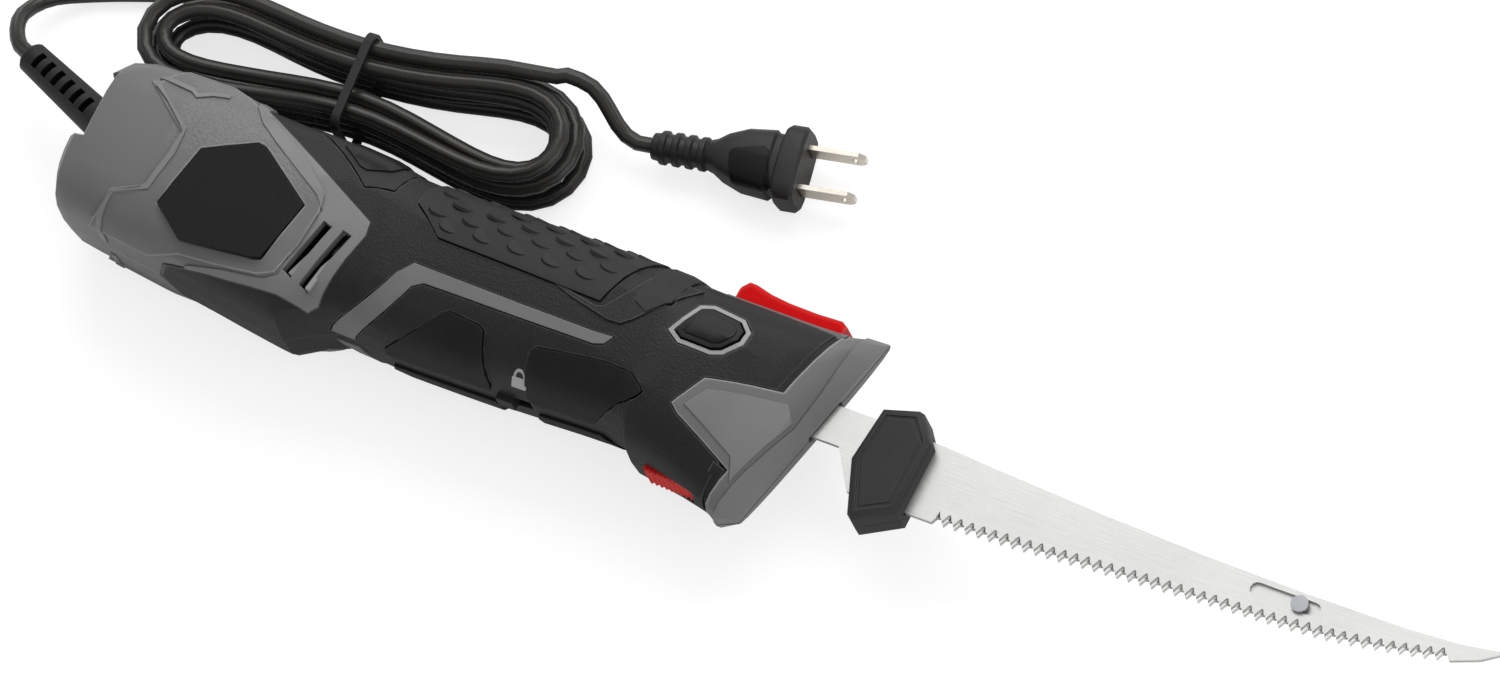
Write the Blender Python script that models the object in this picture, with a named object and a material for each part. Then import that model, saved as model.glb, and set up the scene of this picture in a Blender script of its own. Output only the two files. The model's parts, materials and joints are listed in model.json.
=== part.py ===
"""Electric fillet knife, modelled as an assembly.

The knife lies on its side. X runs from the rear to the blade tip, Y up the
height of the handle, and Z across its width. Sizes are in millimetres and
are scaled to metres when a mesh is made. Stations along the handle are
measured from the rear end of the cover.
"""
import bpy
import bmesh
import math
from mathutils import Matrix, Vector

for old in list(bpy.data.objects):
    bpy.data.objects.remove(old, do_unlink=True)

MM = 0.001

# Clearances
GAP = 0.3
SLIDE_GAP = 0.5
MERGE = 0.02

# Handle
REAR_END = -1.0
NOSE_TIP = 246.0
REAR_HALF_WIDTH = 24.0
WAIST_HALF_WIDTH = 22.7
GRIP_HALF_WIDTH = 24.3
REAR_TOP = 34.0
GRIP_TOP = 28.2
REAR_BOTTOM = -22.2
HEEL_BOTTOM = -30.6
GRIP_BOTTOM = -23.7
FINGER_BOTTOM = -29.8
NOSE_TOP = 32.0
NOSE_BOTTOM = -36.0
NOSE_FLAT = 3.2
HEEL_X = 82.0
GRIP_START = 104.0
GRIP_END = 194.0
RAKE = 0.27
RAKE_START = 200.0
RAKE_END = 238.0
WALL = 3.4
SHELL_REAR = 7.6
SHELL_FRONT = 234.0

# Grey covers
COVER_WALL = 2.2
COVER_FRONT = 100.0
NOTCH_X = 5.0
NOTCH_LOW = 1.0
NOTCH_HIGH = 24.0
FRAME_RAISE = 0.8
COLLAR_WALL = 2.2

# Trim let into the shells
TRIM_DEPTH = 1.2
TRIM_PROUD = 0.3
PAD_PROUD = 0.7
BADGE_FACE = REAR_HALF_WIDTH + 1.0
BADGE_THICK = 1.6
VENT_WIDTH = 3.4

# Drive
AXIS_Y = 8.0
SHAFT_RADIUS = 1.6
SHAFT_REAR = 16.0
CAN_RADIUS = 17.0
CAN_WALL = 1.2
CAN_REAR = 31.0
CAN_FRONT = 77.0
FAN_X = 88.0
FAN_RADIUS = 16.5
FAN_WIDTH = 7.0
FAN_BLADES = 8
WORM_X = 131.0
WORM_LENGTH = 22.0
WORM_PITCH_RADIUS = 4.0
TOOTH_PITCH = 2.88
THREAD_HEIGHT = 0.9
WHEEL_TEETH = 24
WHEEL_WIDTH = 6.4
HUB_RADIUS = 7.0
HUB_HEIGHT = 6.2
CRANK_RADIUS = 4.2
PIN_RADIUS = 1.6
PIN_HEIGHT = 2.7
PLATE_THICK = 2.0
REST_PHASE = 2.2

# Blades
BLADE_THICK = 0.8
BLADE_TIP_X = 469.3
BLADE_REAR = 212.0
SERRATION_PITCH = 3.7
SERRATION_DEPTH = 2.2
SERRATION_START = 291.0
SERRATION_END = 454.0
SLOT_START = 389.0
SLOT_END = 412.0
SLOT_WIDTH = 4.4
RIVET_X = 405.4
RIVET_RADIUS = 2.7
RIVET_NECK = 1.7
GUARD_THICK = 7.0

# Controls
PRESS_TRAVEL = 2.0
SWITCH_TRAVEL = 2.5
TRIGGER_TRAVEL = 2.5
LOCK_TRAVEL = 5.0

# Screws, bulkheads and the switches they hold
SCREW_PLACES = [(13.8, 24.6), (106.0, -14.5), (190.5, 18.2), (190.5, -13.6)]
SCREW_RADIUS = 1.3
SCREW_SEAT = 10.0
SCREW_REACH = 7.0
HEAD_RADIUS = 2.8
HEAD_HEIGHT = 1.9
BOSS_RADIUS = 3.4
RIB_THICK = 2.0
MOTOR_RIBS = [36.0, 68.0, 77.3]
FRAME_RIBS = [115.0, 145.0]
SWITCH_RIBS = [209.3, 220.4]

# Power cord, a flat twin lead drawn as a round tube of equal area
CORD_DIAMETER = 4.8
CORD_STEP = 6.0
CORD_RISE = 5.3
CORD_LAYERS = 4
HANK_LOOPS = 6
WAIST_RAISE = 1.9
TIE_THICK = 1.3
TIE_WIDTH = 2.6
NECK_RADIUS = 4.2
NECK_END = 13.6
PLUG_REAR = 25.6
PRONG_SPACING = 12.7
PRONG_LENGTH = 17.5
PRONG_WIDTH = 6.3
PRONG_THICK = 1.5

# Where the middle of the handle's stations lies from the knife's origin
ORIGIN_X = 216.862
ORIGIN_Y = -1.15

knife = bpy.data.collections.new("electric_fillet_knife")
cutters = bpy.data.collections.new("cutters")
for collection in (knife, cutters):
    bpy.context.scene.collection.children.link(collection)

base = bpy.data.objects.new("knife_base", None)
base.location = (-ORIGIN_X * MM, -ORIGIN_Y * MM, BADGE_FACE * MM)
knife.objects.link(base)


def material(name, colour, roughness, metallic=0.0):
    made = bpy.data.materials.new(name)
    made.use_nodes = True
    shader = made.node_tree.nodes["Principled BSDF"]
    shader.inputs["Base Color"].default_value = (*colour, 1.0)
    shader.inputs["Roughness"].default_value = roughness
    shader.inputs["Metallic"].default_value = metallic
    return made


BLACK_SHELL = material("black_nylon", (0.032, 0.033, 0.035), 0.55)
GREY_COVER = material("grey_plastic", (0.20, 0.20, 0.21), 0.50)
SOFT_BLACK = material("soft_rubber", (0.014, 0.014, 0.015), 0.62)
LIGHT_TRIM = material("light_grey_trim", (0.45, 0.46, 0.47), 0.45)
RED_PLASTIC = material("red_plastic", (0.78, 0.012, 0.016), 0.35)
STEEL = material("blade_steel", (0.70, 0.70, 0.68), 0.28, 1.0)
DARK_STEEL = material("motor_steel", (0.42, 0.43, 0.45), 0.38, 1.0)
BRASS = material("brass", (0.72, 0.52, 0.22), 0.35, 1.0)
COPPER = material("copper_wire", (0.72, 0.30, 0.12), 0.40, 1.0)
FERRITE = material("ferrite", (0.06, 0.06, 0.07), 0.60)
NATURAL_NYLON = material("natural_nylon", (0.72, 0.70, 0.62), 0.45)
CORD_VINYL = material("cord_vinyl", (0.018, 0.017, 0.016), 0.38)


def place(obj, at=(0.0, 0.0, 0.0), cutter=False):
    """Hang an object on the knife's base with its origin at a point."""
    (cutters if cutter else knife).objects.link(obj)
    obj.parent = base
    obj.location = Vector(at) * MM
    if cutter:
        obj.hide_render = True
        obj.display_type = 'WIRE'
    return obj


def make(bm, name, finish=None, at=(0.0, 0.0, 0.0), cutter=False, smooth=35):
    """Turn a bmesh drawn in millimetres into an object with its origin at a point."""
    bmesh.ops.translate(bm, vec=-Vector(at), verts=bm.verts)
    bmesh.ops.scale(bm, vec=(MM, MM, MM), verts=bm.verts)
    bmesh.ops.recalc_face_normals(bm, faces=bm.faces)
    mesh = bpy.data.meshes.new(name)
    bm.to_mesh(mesh)
    bm.free()
    if smooth:
        mesh.shade_smooth()
        mesh.set_sharp_from_angle(angle=math.radians(smooth))
    if finish:
        mesh.materials.append(finish)
    return place(bpy.data.objects.new(name, mesh), at, cutter)


def boolean(obj, tool, operation='DIFFERENCE'):
    step = obj.modifiers.new(operation.lower(), 'BOOLEAN')
    step.operation = operation
    step.solver = 'EXACT'
    step.object = tool
    return step


def mirrored(obj, name, finish):
    """The same piece for the other side of the parting plane."""
    bpy.context.view_layer.update()
    seen = obj.evaluated_get(bpy.context.evaluated_depsgraph_get())
    mesh = bpy.data.meshes.new_from_object(seen)
    mesh.transform(Matrix.Scale(-1.0, 4, (0.0, 0.0, 1.0)))
    mesh.flip_normals()
    clean = bmesh.new()
    clean.from_mesh(mesh)
    bmesh.ops.remove_doubles(clean, verts=clean.verts, dist=MERGE * MM)
    bmesh.ops.dissolve_degenerate(clean, edges=clean.edges, dist=MERGE * MM)
    clean.to_mesh(mesh)
    clean.free()
    mesh.name = name
    mesh.materials.clear()
    mesh.materials.append(finish)
    other = place(bpy.data.objects.new(name, mesh))
    x, y, z = obj.location
    other.location = (x, y, -z)
    return other


def join(bm, other):
    """Add one bmesh to another."""
    mesh = bpy.data.meshes.new("joined")
    other.to_mesh(mesh)
    other.free()
    bm.from_mesh(mesh)
    bpy.data.meshes.remove(mesh)
    return bm


def box(low, high):
    """A box between two corners."""
    bm = bmesh.new()
    bmesh.ops.create_cube(bm, size=1.0)
    size = [b - a for a, b in zip(low, high)]
    bmesh.ops.scale(bm, vec=size, verts=bm.verts)
    middle = [(a + b) / 2 for a, b in zip(low, high)]
    bmesh.ops.translate(bm, vec=middle, verts=bm.verts)
    return bm


def cylinder(start, end, radius, end_radius=None, sides=20):
    """A cylinder or a cone between two points."""
    start, end = Vector(start), Vector(end)
    bm = bmesh.new()
    tip = radius if end_radius is None else end_radius
    bmesh.ops.create_cone(bm, cap_ends=True, segments=sides, radius1=radius,
                          radius2=tip, depth=(end - start).length)
    turn = (end - start).to_track_quat('Z', 'Y').to_matrix().to_4x4()
    bmesh.ops.transform(bm, matrix=Matrix.Translation((start + end) / 2) @ turn,
                        verts=bm.verts)
    return bm


def turned(profile, sides=24):
    """A ring or a closed turned body about X from (x, radius) points in order."""
    bm = bmesh.new()
    loop = [bm.verts.new((x, r, 0.0)) for x, r in profile]
    edges = [bm.edges.new((a, b)) for a, b in zip(loop, loop[1:] + loop[:1])]
    bmesh.ops.spin(bm, geom=edges + loop, axis=(1, 0, 0), cent=(0, 0, 0),
                   angle=math.tau, steps=sides, use_merge=True)
    bmesh.ops.remove_doubles(bm, verts=bm.verts, dist=0.001)
    bmesh.ops.dissolve_degenerate(bm, edges=bm.edges, dist=0.0005)
    return bm


def prism(outline, low, high):
    """A flat outline in X and Y, drawn out along Z."""
    bm = bmesh.new()
    face = bm.faces.new([bm.verts.new((x, y, low)) for x, y in outline])
    lifted = bmesh.ops.extrude_face_region(bm, geom=[face])["geom"]
    top = [v for v in lifted if isinstance(v, bmesh.types.BMVert)]
    bmesh.ops.translate(bm, vec=(0, 0, high - low), verts=top)
    return bm


def moved(bm, x=0.0, y=0.0, z=0.0):
    bmesh.ops.translate(bm, vec=(x, y, z), verts=bm.verts)
    return bm


def arc(centre, radius, start, end, steps):
    """Points on a round stretch of an outline, in degrees."""
    angles = [math.radians(start + (end - start) * i / steps) for i in range(steps + 1)]
    return [(centre[0] + radius * math.cos(a), centre[1] + radius * math.sin(a))
            for a in angles]


def grown(outline, by):
    """A closed outline moved outwards by a distance."""
    count = len(outline)
    area = sum(outline[i][0] * outline[(i + 1) % count][1]
               - outline[(i + 1) % count][0] * outline[i][1] for i in range(count))
    side = by if area > 0 else -by
    result = []
    for i, point in enumerate(outline):
        before = (Vector(point) - Vector(outline[i - 1])).normalized()
        after = (Vector(outline[(i + 1) % count]) - Vector(point)).normalized()
        normal = Vector((before.y + after.y, -before.x - after.x)).normalized()
        reach = side / max(0.4, normal.dot(Vector((before.y, -before.x))))
        result.append((point[0] + normal.x * reach, point[1] + normal.y * reach))
    return result


# Handle surface. Each row is a station: place along the handle, top, bottom,
# half width and how square the section is.
SECTIONS = [
    (REAR_END, 20.0, -14.0, REAR_HALF_WIDTH - 6.6, 2.8),
    (REAR_END + 2.5, 28.0, -18.5, REAR_HALF_WIDTH - 2.6, 3.0),
    (6.0, REAR_TOP - 2.2, -20.4, REAR_HALF_WIDTH - 0.6, 3.2),
    (13.0, REAR_TOP - 0.4, -21.3, REAR_HALF_WIDTH - 0.1, 3.4),
    (20.0, REAR_TOP, REAR_BOTTOM, REAR_HALF_WIDTH, 3.4),
    (40.0, REAR_TOP, REAR_BOTTOM - 2.6, REAR_HALF_WIDTH, 3.4),
    (47.0, REAR_TOP - 1.0, REAR_BOTTOM - 3.5, REAR_HALF_WIDTH, 3.4),
    (53.0, REAR_TOP - 2.2, REAR_BOTTOM - 4.3, REAR_HALF_WIDTH, 3.4),
    (HEEL_X - 4.0, REAR_TOP - 3.0, HEEL_BOTTOM + 0.4, REAR_HALF_WIDTH, 3.4),
    (HEEL_X, REAR_TOP - 3.1, HEEL_BOTTOM, REAR_HALF_WIDTH, 3.4),
    (HEEL_X + 7.0, REAR_TOP - 3.4, HEEL_BOTTOM + 4.2, REAR_HALF_WIDTH - 0.4, 3.3),
    (HEEL_X + 15.0, REAR_TOP - 4.0, HEEL_BOTTOM + 7.8, WAIST_HALF_WIDTH + 0.7, 3.2),
    (GRIP_START, GRIP_TOP + 0.6, GRIP_BOTTOM + 0.5, WAIST_HALF_WIDTH + 0.1, 3.1),
    (GRIP_START + 12.0, GRIP_TOP + 0.2, GRIP_BOTTOM - 0.5, WAIST_HALF_WIDTH, 3.0),
    (135.0, GRIP_TOP, GRIP_BOTTOM - 0.3, GRIP_HALF_WIDTH - 0.5, 3.0),
    (150.0, GRIP_TOP, GRIP_BOTTOM, GRIP_HALF_WIDTH, 3.0),
    (GRIP_END - 8.0, GRIP_TOP, GRIP_BOTTOM + 1.3, GRIP_HALF_WIDTH, 3.0),
    (GRIP_END, GRIP_TOP, GRIP_BOTTOM + 0.3, GRIP_HALF_WIDTH - 0.3, 3.0),
    (GRIP_END + 4.0, GRIP_TOP - 0.6, FINGER_BOTTOM + 1.2, GRIP_HALF_WIDTH - 0.5, 3.0),
    (GRIP_END + 12.0, GRIP_TOP - 0.8, FINGER_BOTTOM, GRIP_HALF_WIDTH - 1.0, 3.0),
    (218.0, GRIP_TOP - 0.4, FINGER_BOTTOM - 1.6, GRIP_HALF_WIDTH - 3.0, 2.9),
    (229.0, GRIP_TOP + 0.4, FINGER_BOTTOM - 3.6, GRIP_HALF_WIDTH - 7.0, 2.7),
    (237.0, NOSE_TOP - 2.0, NOSE_BOTTOM + 0.5, GRIP_HALF_WIDTH - 11.8, 2.5),
    (241.0, NOSE_TOP - 0.5, NOSE_BOTTOM - 1.5, GRIP_HALF_WIDTH - 14.0, 2.4),
    (NOSE_TIP, NOSE_TOP, NOSE_BOTTOM + 1.0, NOSE_FLAT, 2.4),
]


def tangents(places, values):
    """Slopes that keep a curve through the stations from overshooting."""
    steps = [b - a for a, b in zip(places, places[1:])]
    rises = [(b - a) / s for a, b, s in zip(values, values[1:], steps)]
    slopes = [rises[0]]
    for i in range(1, len(rises)):
        before, after = rises[i - 1], rises[i]
        if before * after <= 0:
            slopes.append(0.0)
            continue
        first = 2 * steps[i] + steps[i - 1]
        second = steps[i] + 2 * steps[i - 1]
        slopes.append((first + second) / (first / before + second / after))
    return slopes + [rises[-1]]


STATIONS = [row[0] for row in SECTIONS]
COLUMNS = [[row[k] for row in SECTIONS] for k in range(1, 5)]
SLOPES = [tangents(STATIONS, column) for column in COLUMNS]


def section(x):
    """Top, bottom, half width and squareness of the handle at a station."""
    x = min(max(x, STATIONS[0]), STATIONS[-1])
    i = 0
    while i < len(STATIONS) - 2 and x > STATIONS[i + 1]:
        i += 1
    step = STATIONS[i + 1] - STATIONS[i]
    t = (x - STATIONS[i]) / step
    return [(2 * t ** 3 - 3 * t * t + 1) * column[i]
            + (t ** 3 - 2 * t * t + t) * step * slope[i]
            + (3 * t * t - 2 * t ** 3) * column[i + 1]
            + (t ** 3 - t * t) * step * slope[i + 1]
            for column, slope in zip(COLUMNS, SLOPES)]


def rake(x):
    """How far a station leans forward towards its top, per millimetre of height."""
    t = min(max((x - RAKE_START) / (RAKE_END - RAKE_START), 0.0), 1.0)
    return RAKE * t * t * (3 - 2 * t)


def skin(x, degrees, offset=0.0):
    """A point on the handle: 0 degrees is the side, 90 the top, -90 the bottom."""
    top, bottom, width, power = section(x)
    height, middle = (top - bottom) / 2, (top + bottom) / 2
    s = math.sin(math.radians(degrees))
    c = math.cos(math.radians(degrees))
    v = math.copysign(abs(s) ** (2 / power), s)
    w = math.copysign(abs(c) ** (2 / power), c)
    normal_y = math.copysign(abs(v) ** (power - 1) / height, v)
    normal_z = math.copysign(abs(w) ** (power - 1) / width, w)
    length = math.hypot(normal_y, normal_z)
    y = middle + height * v + offset * normal_y / length
    z = width * w + offset * normal_z / length
    return Vector((x + rake(x) * y, y, z))


def half_loft(stations, offset, turn=15, seam=GAP / 2):
    """One side of the handle as a closed solid with its flat face near the parting plane."""
    bm = bmesh.new()
    rows = []
    for x in stations:
        by = offset(x) if callable(offset) else offset
        row = [skin(x, -90 + turn * i, by) for i in range(round(180 / turn) + 1)]
        for point in row:
            point.z = max(point.z, seam)
        row[0].z = row[-1].z = seam
        rows.append([bm.verts.new(point) for point in row])
    for near, far in zip(rows, rows[1:]):
        for i in range(len(near) - 1):
            bm.faces.new((near[i], far[i], far[i + 1], near[i + 1]))
        bm.faces.new((near[0], near[-1], far[-1], far[0]))
    bm.faces.new(rows[0])
    bm.faces.new(rows[-1])
    return bm


def steps_between(start, end, most):
    """Stations from start to end with the handle's own stations kept."""
    kept = [start] + [x for x in STATIONS if start + 1.5 < x < end - 1.5] + [end]
    result = []
    for a, b in zip(kept, kept[1:]):
        count = max(1, math.ceil((b - a) / most))
        result += [a + (b - a) * i / count for i in range(count)]
    return result + [end]


def patch(outline, low, high, step_x=10.0, step_turn=15.0):
    """A closed skin on the handle between two offsets, inside an outline of
    (station, degrees) points."""
    bm = bmesh.new()
    bm.faces.new([bm.verts.new((x, degrees, 0.0)) for x, degrees in outline])
    xs = [x for x, _ in outline]
    turns = [degrees for _, degrees in outline]
    for axis, least, most, step in ((0, min(xs), max(xs), step_x),
                                    (1, min(turns), max(turns), step_turn)):
        line = (math.ceil(least / step - 0.5) + 0.5) * step
        while line < most:
            where = [0.0, 0.0, 0.0]
            where[axis] = line
            normal = [0.0, 0.0, 0.0]
            normal[axis] = 1.0
            bmesh.ops.bisect_plane(bm, geom=bm.verts[:] + bm.edges[:] + bm.faces[:],
                                   plane_co=where, plane_no=normal, dist=0.02)
            line += step
    lifted = bmesh.ops.extrude_face_region(bm, geom=bm.faces[:])["geom"]
    raised = {v for v in lifted if isinstance(v, bmesh.types.BMVert)}
    for v in bm.verts:
        v.co = skin(v.co.x, v.co.y, high if v in raised else low)
    bmesh.ops.triangulate(bm, faces=bm.faces)
    return bm


def spread(outline, by):
    """An outline on the skin moved outwards by a distance measured on the skin."""
    count = len(outline)
    centre_x = sum(x for x, _ in outline) / count
    flat = []
    for x, degrees in outline:
        flat.append((x, skin_length(centre_x, degrees)))
    wide = grown(flat, by)
    return [(x, turn_at(centre_x, length)) for x, length in wide]


def skin_length(x, degrees):
    """Length round the section from the side's middle to an angle."""
    side = 1 if degrees >= 0 else -1
    total, last = 0.0, skin(x, 0.0)
    for i in range(1, 13):
        here = skin(x, degrees * i / 12)
        total += math.hypot(here.y - last.y, here.z - last.z)
        last = here
    return side * total


def turn_at(x, length):
    """The angle at a length round the section."""
    low, high = -200.0, 200.0
    for _ in range(40):
        middle = (low + high) / 2
        if skin_length(x, middle) < length:
            low = middle
        else:
            high = middle
    return (low + high) / 2


# Outlines in the side view, from the rear round the bottom to the top
COVER_OUTLINE = [(REAR_END - 9, 45), (REAR_END - 9, -40), (24, -40), (26, -25.2), (34, -24.2),
                 (44, -24.0), (66, -24.0), (90.5, -23.6), (93.5, -21.5), (COVER_FRONT, 1.5),
                 (COVER_FRONT - 0.6, 5.5), (52.5, 28.5), (47, 45)]
COLLAR_OUTLINE = [(209.8, -14.0), (212.5, -16.2), (230.5, -24.0), (222.5, -45), (262, -50),
                  (268, 50), (247.5, 45), (243.0, 27.0), (236.5, 3.2), (218.0, -2.6),
                  (215.6, -3.4)]

# Outlines on the skin, as station and degrees
BADGE_OUTLINE = [(36.6, -11.3), (41.6, 8.7), (57.0, 16.5), (59.6, 16.1), (79.0, 3.2),
                 (74.0, -16.6), (71.6, -17.4), (48.0, -20.0)]
FRAME_OUTLINE = [(19, 25), (34, 5), (29.5, -18), (22, -27), (15, -72), (36, -72), (47.5, -52),
                 (74.5, -33), (79.5, -26), (84.3, 1), (83.0, 6), (52.0, 46), (38, 66), (24, 60)]
PALM_OUTLINE = [(110, 24), (112, 70), (112, 110), (110, 156), (121, 173), (176.5, 176.5),
                (186.3, 114), (186.3, 66), (176.5, 3.5), (121, 7)]
INSET_OUTLINE = [(65, 72), (65, 108), (93, 164), (101.5, 156), (104, 111), (104, 69),
                 (101.5, 24), (93, 16)]
RIDGE_OUTLINE = [(189, 113), (186, 170), (191.0, 174), (196.5, 160), (198.5, 120),
                 (198.5, 60), (196.5, 20), (191.0, 6), (186, 10), (189, 67)]
STRIPE_OUTLINE = [(95.5, -88), (103.5, -88), (120.2, -14), (123.5, -10), (180.2, -12),
                  (183.4, -10), (185.3, -5), (179, -5.5), (118, -2.5), (114.2, -9)]
REAR_PAD_OUTLINE = [(115.5, -86), (149.5, -86), (150.3, -80), (147.0, -28), (145.0, -25),
                    (134.5, -22), (132.5, -25), (115.0, -80)]
FRONT_PAD_OUTLINE = [(164.0, -86), (184.0, -86), (200.3, -19), (199.2, -17), (164.6, -27),
                     (163.0, -33), (162.6, -80)]


def inner_of_cover(name, offset, start):
    """The space inside the rear cover."""
    return make(half_loft(steps_between(start, 112, 14.0), offset, turn=22.5, seam=-1.0),
                name, cutter=True)


def housing_upper():
    """Black half shell of the handle, let in under the covers and the trim."""
    shell = make(half_loft(steps_between(SHELL_REAR, SHELL_FRONT, 15.0), 0.0),
                 "housing_upper", BLACK_SHELL)
    lid = make(half_loft(steps_between(REAR_END, 112, 30.0), 5.0, turn=30, seam=-1.0),
               "cover_recess", cutter=True)
    outline = make(prism(grown(COVER_OUTLINE, GAP), -3, 60), "cover_recess_outline",
                   cutter=True)
    boolean(lid, outline, 'INTERSECT')
    boolean(lid, inner_of_cover("cover_recess_core", -COVER_WALL - GAP, SHELL_REAR - 0.1))
    boolean(shell, lid)
    nose = make(half_loft(steps_between(204, NOSE_TIP, 9.0), 5.0, seam=-1.0),
                "collar_recess", cutter=True)
    boolean(nose, make(prism(grown(COLLAR_OUTLINE, GAP), -3, 60), "collar_recess_outline",
                       cutter=True), 'INTERSECT')
    boolean(nose, make(half_loft(steps_between(202, NOSE_TIP, 9.0), -COLLAR_WALL - GAP,
                                 seam=-2.0), "collar_recess_core", cutter=True))
    boolean(shell, nose)
    cavity = make(half_loft(CAVITY_STATIONS, cavity_offset, turn=22.5, seam=-1.0), "cavity",
                  cutter=True)
    boolean(cavity, ribs_and_bosses())
    boolean(shell, cavity)
    return shell


CAVITY_STATIONS = [SHELL_REAR + 2.4, 20, 40, 53, 76, 84, 97, COVER_FRONT + 2.5,
                   COVER_FRONT + 10.5, 135, 186, 197, 201.6, 218, SHELL_FRONT - 6.0]


def ribs_and_bosses():
    """Bulkheads that hold the motor, the gear frame and the switches, and screw bosses."""
    mass = bmesh.new()
    for x in MOTOR_RIBS + FRAME_RIBS + SWITCH_RIBS:
        join(mass, box((x, -50, -3), (x + RIB_THICK, 50, 40)))
    for x, y in SCREW_PLACES:
        join(mass, cylinder((x, y, -3), (x, y, 40), BOSS_RADIUS, sides=12))
    ribs = make(mass, "ribs_and_bosses", cutter=True)
    switch_start, switch_end = SWITCH_RIBS[0] - 4, SWITCH_RIBS[1] + 9
    rooms = [cylinder((12, AXIS_Y, 0), (CAN_FRONT + GAP, AXIS_Y, 0), CAN_RADIUS + GAP, sides=32),
             cylinder((CAN_FRONT - 2, AXIS_Y, 0), (100, AXIS_Y, 0), 10.0, sides=20),
             box((FRAME_RIBS[0] - 3, FRAME_LOW - GAP, -4),
                 (FRAME_RIBS[1] + 4, FRAME_HIGH + GAP, YOKE_HIGH + 1.2)),
             box((switch_start, SWITCH_LOW - GAP, -4),
                 (switch_end, SWITCH_TOP + 12, SWITCH_HALF + GAP)),
             box((switch_start, -8.4, -4), (switch_end, TANG_HIGH + 3.0, 6.6)),
             box((switch_start, -50, -4), (switch_end, TRIGGER_TOP + TRIGGER_TRAVEL + 1.0, 7.2))]
    for number, room in enumerate(rooms):
        boolean(ribs, make(room, "rib_room_%d" % number, cutter=True))
    return ribs


def cavity_offset(x):
    """How far inside the skin the hollow lies: deeper where a cover lies over the shell."""
    covered = -COVER_WALL - GAP - WALL * 0.68
    if x < COVER_FRONT + 2 or x > 205:
        return covered
    if x < COVER_FRONT + 10 or x > 198:
        return (covered - WALL) / 2
    return -WALL


def rear_cover_upper():
    """Grey half cover of the rear with the raised frame around the badge."""
    cover = make(half_loft(steps_between(REAR_END, 110, 15.0), 0.0), "rear_cover_upper",
                 GREY_COVER)
    boolean(cover, make(prism(COVER_OUTLINE, -1, 60), "cover_outline", cutter=True),
            'INTERSECT')
    boolean(cover, make(patch(FRAME_OUTLINE, -COVER_WALL * 0.6, FRAME_RAISE), "cover_frame",
                        cutter=True), 'UNION')
    boolean(cover, inner_of_cover("cover_core", -COVER_WALL, SHELL_REAR - 0.4))
    boolean(cover, make(box((REAR_END - 5, NOTCH_LOW, -1), (NOTCH_X, NOTCH_HIGH, 40)),
                        "cover_notch", cutter=True))
    return cover


def trims():
    """Grips and stripes let into the shell, with a clearance all round and below."""
    recesses = bmesh.new()
    for name, outline, finish, proud in (
            ("stripe_inlay_upper", STRIPE_OUTLINE, LIGHT_TRIM, TRIM_PROUD),
            ("rear_grip_pad_upper", REAR_PAD_OUTLINE, SOFT_BLACK, PAD_PROUD),
            ("front_grip_pad_upper", FRONT_PAD_OUTLINE, SOFT_BLACK, PAD_PROUD),
            ("palm_pad", PALM_OUTLINE, SOFT_BLACK, PAD_PROUD),
            ("top_inset", INSET_OUTLINE, SOFT_BLACK, TRIM_PROUD),
            ("thumb_ridge", RIDGE_OUTLINE, SOFT_BLACK, PAD_PROUD)):
        piece = make(patch(outline, -TRIM_DEPTH, proud), name, finish)
        join(recesses, patch(spread(outline, GAP), -TRIM_DEPTH - GAP, 4.0))
        if name.endswith("_upper"):
            mirrored(piece, name.replace("_upper", "_lower"), finish)
    boolean(SHELL, make(recesses, "trim_recesses", cutter=True))


def badges():
    """Flat six-sided plates in the raised frames, the widest faces of the knife."""
    floor = BADGE_FACE - BADGE_THICK
    plate = make(prism(BADGE_OUTLINE, floor, BADGE_FACE), "badge_plate_upper", SOFT_BLACK)
    boolean(COVER, make(prism(grown(BADGE_OUTLINE, GAP), floor - GAP, 40), "badge_recess",
                        cutter=True))
    mirrored(plate, "badge_plate_lower", SOFT_BLACK)


def openings(name, lower):
    """Vents, cord hole, blade slot, trigger and lock openings and the screws' ways.

    The lower shell is cut before it is mirrored, so its screw seats lie above here.
    """
    tool = bmesh.new()
    for top, bottom in (((88.3, 1.2), (82.9, -18.6)), ((95.0, 0.6), (88.8, -20.4))):
        half = VENT_WIDTH / 2
        outline = [(top[0] - half, top[1]), (top[0] + half, top[1] - 0.8),
                   (bottom[0] + half, bottom[1]), (bottom[0] - half, bottom[1] + 1.4)]
        join(tool, prism(outline, 8, 40))
    join(tool, cylinder((NOTCH_X - 1, RELIEF_BASE.y, 0), (NECK_END - 3.2, RELIEF_BASE.y, 0),
                        NECK_RADIUS + GAP, sides=20))
    join(tool, blade_way())
    half = TRIGGER_HALF + SLIDE_GAP
    join(tool, box((TRIGGER_START - SLIDE_GAP, -45, -half),
                   (TRIGGER_END + SLIDE_GAP, TRIGGER_TOP + 3, half)))
    join(tool, box((LOCK_START - GAP, -40, -LOCK_HALF - GAP),
                   (LOCK_START + LOCK_LENGTH + LOCK_TRAVEL + GAP, -15, LOCK_HALF + GAP)))
    bore = SCREW_RADIUS + GAP
    for x, y in SCREW_PLACES:
        if not lower:
            join(tool, cylinder((x, y, -1), (x, y, SCREW_REACH + GAP), bore, sides=10))
            continue
        way = turned_closed([(-1, 0.0), (-1, bore), (SCREW_SEAT, bore),
                             (SCREW_SEAT, HEAD_RADIUS + GAP), (40, HEAD_RADIUS + GAP),
                             (40, 0.0)], 12)
        for v in way.verts:
            v.co = Vector((v.co.y + x, v.co.z + y, v.co.x))
        join(tool, way)
    if lower:
        join(tool, cylinder((*FOOT_PLACE, 6.0 - GAP), (*FOOT_PLACE, 30), FOOT_RADIUS + GAP,
                            sides=18))
    return make(tool, name, cutter=True)


def blade_way():
    """Slot for the blades, with play over and under them."""
    half = BLADE_THICK + GAP + SLIDE_GAP
    return box((200, TANG_LOW - 1.4, -half), (260, TANG_HIGH + 1.4, half))


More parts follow.
